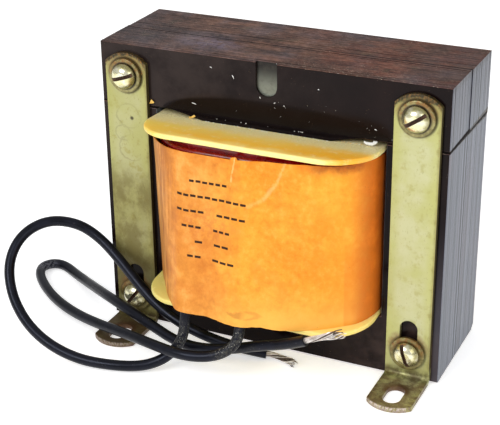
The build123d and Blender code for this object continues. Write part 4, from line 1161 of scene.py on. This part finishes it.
# rows of plain short ink strokes on the wrap
def wrap_index(px, zz):
    best, bi = 1e9, 0
    for i in range(0, N_FRONT + 1):
        d = abs(wrap_ruling(i, zz).x - px)
        if d < best:
            best, bi = d, i
    return bi


def wrap_at(px, zz):
    """Surface point and outward direction at x = px across the front, between grid lines."""
    i = wrap_index(px, zz)
    a, b = wrap_ruling(i, zz).x, wrap_ruling(i + 1, zz).x
    if px < a and i > 0:
        i -= 1
        a, b = wrap_ruling(i, zz).x, a
    w = max(0.0, min(1.0, (px - a) / (b - a) if b != a else 0.0))
    p0, n0 = wrap_surface(i, zz)
    p1, n1_ = wrap_surface(i + 1, zz)
    return p0.lerp(p1, w), n0.lerp(n1_, w).normalized()


def ink_stroke(bm, xa, xb, za, zb, nx_=4, nz_=3, rise=0.055):
    grid = []
    for lay in (0.02, rise):
        g = []
        for i in range(nx_ + 1):
            row = []
            for j in range(nz_ + 1):
                px = xa + (xb - xa) * i / nx_
                pz = za + (zb - za) * j / nz_
                p, nn = wrap_at(px, pz)
                row.append(bm.verts.new((p + nn * lay) * MM))
            g.append(row)
        grid.append(g)
    lo, hi = grid
    for i in range(nx_):
        for j in range(nz_):
            bm.faces.new((hi[i][j], hi[i + 1][j], hi[i + 1][j + 1], hi[i][j + 1]))
            bm.faces.new((lo[i][j], lo[i][j + 1], lo[i + 1][j + 1], lo[i + 1][j]))
    for i in range(nx_):
        bm.faces.new((hi[i][0], lo[i][0], lo[i + 1][0], hi[i + 1][0]))
        bm.faces.new((hi[i][nz_], hi[i + 1][nz_], lo[i + 1][nz_], lo[i][nz_]))
    for j in range(nz_):
        bm.faces.new((hi[0][j], hi[0][j + 1], lo[0][j + 1], lo[0][j]))
        bm.faces.new((hi[nx_][j], lo[nx_][j], lo[nx_][j + 1], hi[nx_][j + 1]))


# (left x, right x, z) of each row, as measured across the front
ROWS = [(-18.0, -5.0, 63.0), (-22.3, 1.6, 58.3), (-22.2, -12.4, 53.5), (-8.6, 1.6, 53.5), (-20.2, -13.2, 48.6), (-9.6, -3.4, 48.5),
        (-15.6, -12.6, 44.0), (-9.2, -3.6, 43.9), (-18.0, -13.0, 39.2), (-9.6, -1.4, 39.0)]
bm = bmesh.new()
for xa, xb, zz in ROWS:
    n = max(1, round((xb - xa) / 2.35))
    step_ = (xb - xa) / n
    for k in range(n):
        a = xa + step_ * k + 0.30
        b = xa + step_ * (k + 1) - 0.30
        dz = rnd.uniform(-0.08, 0.08)
        ink_stroke(bm, a, b, zz - 0.36 + dz, zz + 0.36 + dz)
add_object("ink_strokes", bm, (INK,), recalc=True, smooth=False)


# ------------------------------------------------------ carried CAD nodes
def dress(node, mat, bevel=0.0, seg=2, angle=35.0):
    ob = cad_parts[node]
    ob.data.materials.clear()
    ob.data.materials.append(mat)
    if bevel:
        w = ob.modifiers.new("weld", "WELD")
        w.merge_threshold = 1e-6
        dm = ob.modifiers.new("flat", "DECIMATE")
        dm.decimate_type = "DISSOLVE"
        dm.angle_limit = math.radians(0.3)
        b = ob.modifiers.new("edge", "BEVEL")
        b.width = bevel * MM
        b.segments = seg
        b.limit_method = "ANGLE"
        b.angle_limit = math.radians(angle)
        b.harden_normals = False
        b.use_clamp_overlap = True
        b.loop_slide = True
    return ob


for leg in ("left", "centre", "right"):
    dress("gap_shim_" + leg, PAPER)
dress("bracket_front_left", STRAP_STAINED, 0.22, 2, 50)
dress("bracket_front_right", STRAP_CLEAN, 0.22, 2, 50)
dress("clamp_screws", ZINC, 0.10, 2, 50)
dress("flat_washers", WASHER, 0.22, 2, 50)
dress("lock_washers", WASHER, 0.12, 2, 50)
dress("hex_nuts", ZINC, 0.2, 2, 50)
dress("splice_sleeve_left", SLEEVE)
dress("splice_sleeve_right", SLEEVE)

# varnish run into the outer ends of the air gap
bm = bmesh.new()


def bead(bm, a, b, r0, n, seed, squash, grow=0.0):
    """A lumpy run of varnish from a to b, flattened by squash in (x, y, z)."""
    r = random.Random(seed)
    a, b = Vector(a), Vector(b)
    pts, rad = [], []
    for k in range(n + 1):
        w = k / n
        pts.append(a.lerp(b, w) + Vector((0, 0, r.uniform(-0.03, 0.03))))
        rad.append((r0 + grow * w) * (0.85 + 0.3 * r.random()) * (0.9 if k in (0, n) else 1.0))
    start = len(bm.verts)
    tube(bm, pts, rad, sides=8)
    bm.verts.ensure_lookup_table()
    mid_ = (a + b) / 2
    for v in bm.verts[start:]:
        for ax in range(3):
            if squash[ax] != 1:
                v.co[ax] = (mid_[ax] + (v.co[ax] * 1000 - mid_[ax]) * squash[ax]) * MM


bead(bm, (-56.87, -19.0, 77.0), (-56.87, 18.9, 77.0), 0.5, 40, 5, (0.55, 1, 0.88))
bead(bm, (-57.13, -18.84, 77.0), (-38.2, -18.84, 77.0), 0.5, 24, 6, (1, 0.36, 0.9))
bead(bm, (38.2, -18.84, 77.0), (57.13, -18.84, 77.0), 0.5, 24, 7, (1, 0.38, 1.04))
bead(bm, (57.16, -19.0, 77.0), (57.16, 18.9, 77.1), 0.46, 64, 9, (0.18, 1, 1.05), grow=0.55)
add_object("varnish_in_gap", bm, (VARNISH,), angle=60)

# varnish pooled over the bobbin's tube, sloping up to the core's face
FILLET = [(-20.75, 75.61), (-20.72, 76.05), (-20.52, 76.50), (-20.05, 76.78), (-19.55, 77.02), (-19.14, 77.42), (-19.03, 77.55)]
BACK = [(-19.03, 76.38), (-20.45, 76.38), (-20.45, 75.61)]
bm = bmesh.new()
rf = random.Random(77)
rows_ = []
NF = 60
for k in range(NF + 1):
    w = k / NF
    px = -20.78 + 41.56 * w
    shrink = 1.0
    row = []
    for j, (fy, fz) in enumerate(FILLET):
        d = rf.uniform(-0.05, 0.05) if 0 < j < len(FILLET) - 1 else 0.0
        by, bz = (-19.03 if j > 2 else -20.45), (76.38 if j > 2 else min(fz, 76.38))
        row.append(bm.verts.new((px * MM, (by + (fy - by) * (0.25 + 0.75 * shrink) + d) * MM, (bz + (fz - bz) * (0.25 + 0.75 * shrink) + d) * MM)))
    for fy, fz in BACK:
        row.append(bm.verts.new((px * MM, fy * MM, fz * MM)))
    rows_.append(row)


def runout(x0, x1, n):
    """Sections that shrink from the tube's end towards a point on the I stack's lower edge."""
    out = []
    for k in range(n):
        w = (k + 1) / n
        s = max(0.03, (1 - w) ** 1.25)
        row = []
        for j, (fy, fz) in enumerate(FILLET + BACK):
            d = rf.uniform(-0.05, 0.05) * s if 0 < j < len(FILLET) - 1 else 0.0
            row.append(bm.verts.new(((x0 + (x1 - x0) * w) * MM, (-19.03 + (fy + 19.03) * s + d) * MM, (77.55 + (fz - 77.55) * s + d) * MM)))
        out.append(row)
    return out


rows_ = list(reversed(runout(-20.78, -35.5, 26))) + rows_ + runout(20.78, 31.0, 18)
for ra, rb in zip(rows_, rows_[1:]):
    n = len(ra)
    for k in range(n):
        bm.faces.new((ra[k], ra[(k + 1) % n], rb[(k + 1) % n], rb[k]))
bm.faces.new(list(reversed(rows_[0])))
bm.faces.new(rows_[-1])
bmesh.ops.recalc_face_normals(bm, faces=bm.faces)
add_object("varnish_over_tube", bm, (VARNISH,), angle=50)


# ---------------------------------------------------------- bare lead ends
def strands(name, node, lead, bare, seed, spread, count=19):
    r = random.Random(seed)
    first = beyond(lead[-2], lead[-1], 2.6)
    path_ = [Vector(lead[-1]) - (Vector(lead[-1]) - Vector(lead[-2])).normalized() * 0.25, first] + [Vector(p) for p in bare]
    # even points along the middle line, softened at its corners
    seg = [(b - a).length for a, b in zip(path_, path_[1:])]
    total = sum(seg)

    def at(s):
        for a, b, l in zip(path_, path_[1:], seg):
            if s <= l or b is path_[-1]:
                return a + (b - a) * (s / l)
            s -= l
    n = 22
    mid = [at(total * k / n) for k in range(n + 1)]
    for _ in range(3):
        mid = [mid[0]] + [(mid[k - 1] + mid[k] * 2 + mid[k + 1]) / 4 for k in range(1, n)] + [mid[-1]]
    spots = [(0.0, 0.0)] + [(0.40, a * math.pi / 3) for a in range(6)] + [(0.76, (a + 0.5) * math.pi / 6) for a in range(12)]
    bm = bmesh.new()
    for rad, ang in spots[:count]:
        stop = n - r.randint(0, 5)
        wob_a, wob_f = r.uniform(0.0, 0.16), r.uniform(0.15, 0.45)
        sp_ = spread * r.uniform(0.3, 1.25)
        pts_ = []
        for k in range(stop + 1):
            t = (mid[min(k + 1, n)] - mid[max(k - 1, 0)]).normalized()
            u = t.cross(Vector((0, 0, 1))).normalized()
            v = u.cross(t)
            w = k / n
            a = ang + 4.2 * w + wob_a * math.sin(k * wob_f + rad * 9)
            rr = rad * (1.0 + sp_ * sstep(w, 0.35, 1.0)) + (0.05 * sp_ * w if rad == 0 else 0)
            pts_.append(mid[k] + (u * math.cos(a) + v * math.sin(a)) * rr)
        rr_ = [0.19] * len(pts_)
        rr_[-1] = 0.12
        before = len(bm.faces)
        tube(bm, pts_, rr_, sides=7)
        bm.faces.ensure_lookup_table()
        if rad > 0 and r.random() < 0.36:
            for f in bm.faces[before:]:
                f.material_index = 1
    return add_object(name, bm, (TIN, TIN_DARK), (node,), angle=60)


ends_left = strands("lead_left_strands", "lead_left_conductor", LEAD_LEFT, [(9.2, -27.0, 1.55), (13.4, -28.4, 1.75)], 5, 0.75)
ends_right = strands("lead_right_strands", "lead_right_conductor", LEAD_RIGHT, [(30.2, -42.9, 23.4), (35.0, -42.5, 25.3)], 9, 0.7)


# -------------------------------------------------- crumbs, lint and flakes
def chunk(bm, c, size, seed, squash=(1, 1, 1)):
    """A broken crumb: the hull of a few random points, lightly cut."""
    r = random.Random(seed)
    vs = []
    for k in range(11):
        v = Vector((r.gauss(0, 1), r.gauss(0, 1), r.gauss(0, 1))).normalized() * r.uniform(0.75, 1.0)
        vs.append(bm.verts.new(((c[0] + v.x * size * squash[0]) * MM, (c[1] + v.y * size * squash[1]) * MM, (c[2] + v.z * size * squash[2]) * MM)))
    res = bmesh.ops.convex_hull(bm, input=vs)
    loose = [g for g in res["geom_interior"] if isinstance(g, bmesh.types.BMVert)]
    bmesh.ops.delete(bm, geom=loose, context="VERTS")


bm = bmesh.new()
chunk(bm, (-24.6, -20.3, 76.35), 0.95, 1, (1, 0.7, 0.8))
chunk(bm, (-25.6, -19.9, 76.0), 0.7, 2, (1.2, 0.7, 0.6))
chunk(bm, (-39.5, -19.75, 78.9), 1.05, 3, (1.0, 0.55, 0.8))
for k in range(26):
    px = rnd.uniform(-20, 34)
    chunk(bm, (px, (-20.85 if abs(px) < 20.8 else -19.35) - rnd.random() ** 2 * 1.8, 75.75), rnd.uniform(0.10, 0.24), 100 + k, (1.3, 1, 0.8))
add_object("crumbs_yellow", bm, (CRUMB_YELLOW,), smooth=False)
bm = bmesh.new()
for k in range(46):
    px = rnd.uniform(-24, 22)
    on_lip = abs(px) < 20.2 and rnd.random() < 0.3
    chunk(bm, (px, -20.0 - rnd.random() * 0.3 if on_lip else (-20.82 if abs(px) < 20.8 else -19.3) - rnd.random() ** 2 * 1.4, 76.86 if on_lip else 75.74),
          rnd.uniform(0.10, 0.24), 200 + k, (1.3, 1, 0.8))
for k in range(14):
    chunk(bm, (rnd.uniform(24, 37), -19.3 - rnd.random() ** 2 * 1.4, 75.72), rnd.uniform(0.08, 0.2), 260 + k, (1.3, 1, 0.8))
tube(bm, [(31.3, -19.9, 76.9), (31.9, -19.8, 76.5), (32.8, -19.8, 76.35), (33.8, -19.7, 76.4), (34.6, -19.6, 76.8), (35.2, -19.55, 77.3)],
     [0.25, 0.42, 0.5, 0.55, 0.5, 0.3], sides=7)
chunk(bm, (34.4, -19.75, 77.2), 0.4, 31, (1, 0.6, 1.1))
add_object("crumbs_white", bm, (LINT_WHITE,), smooth=False)
bm = bmesh.new()
for (px, pz), (qx, qz) in (((-11.6, 91.2), (-11.0, 90.2)), ((-19.0, 92.9), (-18.4, 92.6)), ((-25.5, 80.4), (-24.1, 80.1)), ((-2.6, 85.6), (-2.3, 85.1)),
                           ((2.2, 84.2), (2.6, 84.5)), ((-42.0, 79.9), (-41.4, 79.7)), ((5.3, 83.9), (5.6, 83.7)), ((16.3, 90.6), (16.7, 90.5)),
                           ((34.2, 80.9), (34.8, 80.6))):
    mx, mz = (px + qx) / 2 + 0.08, (pz + qz) / 2 + 0.1
    tube(bm, [(px, -19.10, pz), (mx, -19.14, mz), (qx, -19.10, qz)], [0.09, 0.13, 0.08], sides=6)
add_object("lint_fibres", bm, (LINT_WHITE,), angle=60)
bm = bmesh.new()
for k, (cx, cz, lo, hi) in enumerate([(-47.6, 93.2, 0, 0)] * 5 + [(47.6, 93.2, 0, 0)] * 5):
    chunk(bm, (cx + rnd.uniform(-5.0, 5.0), -20.72, 93.2 - rnd.random() * 3.0 - 1.2), rnd.uniform(0.12, 0.3), 300 + k, (1.2, 0.3, 0.9))
for k in range(7):
    chunk(bm, (rnd.uniform(-42.0, -40.8) - 0.3, -20.72, rnd.uniform(87.5, 92.0)), rnd.uniform(0.15, 0.32), 330 + k, (0.9, 0.3, 1.0))
for k in range(5):
    chunk(bm, (54.0 + rnd.uniform(-0.3, 0.5), -20.72, rnd.uniform(76, 84)), rnd.uniform(0.10, 0.2), 350 + k, (0.9, 0.3, 1.0))
add_object("varnish_flakes", bm, (FLAKE,), smooth=False)
bm = bmesh.new()
rt = random.Random(19)
for k in range(13):
    chunk(bm, (57.24, -6.0 + 24.0 * math.sqrt(rt.random()), 77.1 + rt.uniform(-0.6, 0.7)), rt.uniform(0.14, 0.24), 720 + k, (0.5, 1.3, 1))
add_object("varnish_grit", bm, (FLAKE,), smooth=False)
bm = bmesh.new()
rs = random.Random(58)
for k in range(60):
    px = rs.uniform(-34.0, 30.0)
    front = -20.9 if abs(px) < 20.9 else -19.35
    chunk(bm, (px, front - rs.random() ** 2 * 1.6, 75.68), rs.uniform(0.06, 0.14), 600 + k, (1.4, 1, 0.7))
for k in range(26):
    chunk(bm, (rs.uniform(2.0, 55.0), -18.98 + rs.random() ** 2 * 1.5, 96.36), rs.uniform(0.07, 0.15), 500 + k, (1.5, 0.8, 0.5))
for k in range(16):
    chunk(bm, (57.02 - rs.random() * 0.25, -19.02, rs.uniform(14.0, 94.0)), rs.uniform(0.07, 0.13), 540 + k, (0.6, 0.4, 1.4))
for k in range(7):
    chunk(bm, (rs.uniform(28.0, 40.0), -19.08, rs.uniform(77.8, 84.0)), rs.uniform(0.06, 0.11), 560 + k, (1, 0.4, 1))
for k in range(10):
    chunk(bm, (rs.uniform(-16.0, 24.0), -19.08, rs.uniform(78.5, 86.0)), rs.uniform(0.06, 0.11), 580 + k, (1, 0.4, 1))
for k in range(6):
    chunk(bm, (57.22, rs.uniform(-2.0, 18.0), 77.1 + rs.uniform(-0.5, 0.6)), rs.uniform(0.06, 0.10), 700 + k, (0.4, 1.3, 1))
add_object("dust_specks", bm, (LINT_WHITE,), smooth=False)


# ------------------------------------------------------------------ studio
def area(name, at, target, size, power, color=(1, 1, 1), size_y=None):
    li = bpy.data.lights.new(name, "AREA")
    li.energy = power
    li.color = color
    li.size = size
    if size_y:
        li.shape = "RECTANGLE"
        li.size_y = size_y
    ob = bpy.data.objects.new(name, li)
    bpy.context.scene.collection.objects.link(ob)
    ob.location = at
    d = Vector(target) - Vector(at)
    ob.rotation_euler = d.to_track_quat("-Z", "Y").to_euler()
    return ob


world = bpy.data.worlds.new("world")
bpy.context.scene.world = world
world.use_nodes = True
wt = world.node_tree
tc = wt.nodes.new("ShaderNodeTexCoord")
sz = wt.nodes.new("ShaderNodeSeparateXYZ")
wr = wt.nodes.new("ShaderNodeMapRange")
wt.links.new(tc.outputs["Generated"], sz.inputs[0])
wt.links.new(sz.outputs[2], wr.inputs["Value"])
wr.inputs["From Min"].default_value, wr.inputs["From Max"].default_value = 0.0, 0.9
wr.inputs["To Min"].default_value, wr.inputs["To Max"].default_value = 0.42, 0.72
wt.links.new(wr.outputs["Result"], wt.nodes["Background"].inputs[1])
wt.nodes["Background"].inputs[0].default_value = (1, 1, 1, 1)
area("key", (-0.28, -0.80, 0.62), (0, 0, 0.05), 0.42, 4.7)
area("fill", (0.7, -0.5, 0.5), (0, 0, 0.05), 0.5, 1.8)

me = bpy.data.meshes.new("floor")
bm = bmesh.new()
s = 3.0
vs = [bm.verts.new((x, y, -0.0002)) for x, y in ((-s, -s), (s, -s), (s, s), (-s, s))]
bm.faces.new(vs)
bm.to_mesh(me)
bm.free()
floor = bpy.data.objects.new("floor", me)
bpy.context.scene.collection.objects.link(floor)
fm = bpy.data.materials.new("floor_mat")
fm.use_nodes = True
fb = fm.node_tree.nodes["Principled BSDF"]
fb.inputs["Base Color"].default_value = (0.92, 0.92, 0.92, 1)
fb.inputs["Roughness"].default_value = 0.6
fb.inputs["Specular IOR Level"].default_value = 0.2
fb.inputs["Emission Color"].default_value = (1, 1, 1, 1)
fb.inputs["Emission Strength"].default_value = 0.5
me.materials.append(fm)
floor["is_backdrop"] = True

bpy.context.view_layer.update()


def shown_box():
    """The shown pieces' box from their vertices. A curve's own box is that of its control points."""
    lo, hi = [1e9] * 3, [-1e9] * 3
    dg = bpy.context.evaluated_depsgraph_get()
    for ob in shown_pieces():
        ev = ob.evaluated_get(dg)
        mesh = ev.to_mesh()
        if mesh is None or not len(mesh.vertices):
            continue
        for v in mesh.vertices:
            p = ev.matrix_world @ v.co
            for k in range(3):
                lo[k], hi[k] = min(lo[k], p[k]), max(hi[k], p[k])
        ev.to_mesh_clear()
    return [lo, hi]


{"cad": [list(v) for v in CAD_BOX], "visual": [list(v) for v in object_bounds()], "visual_from_vertices": shown_box()}
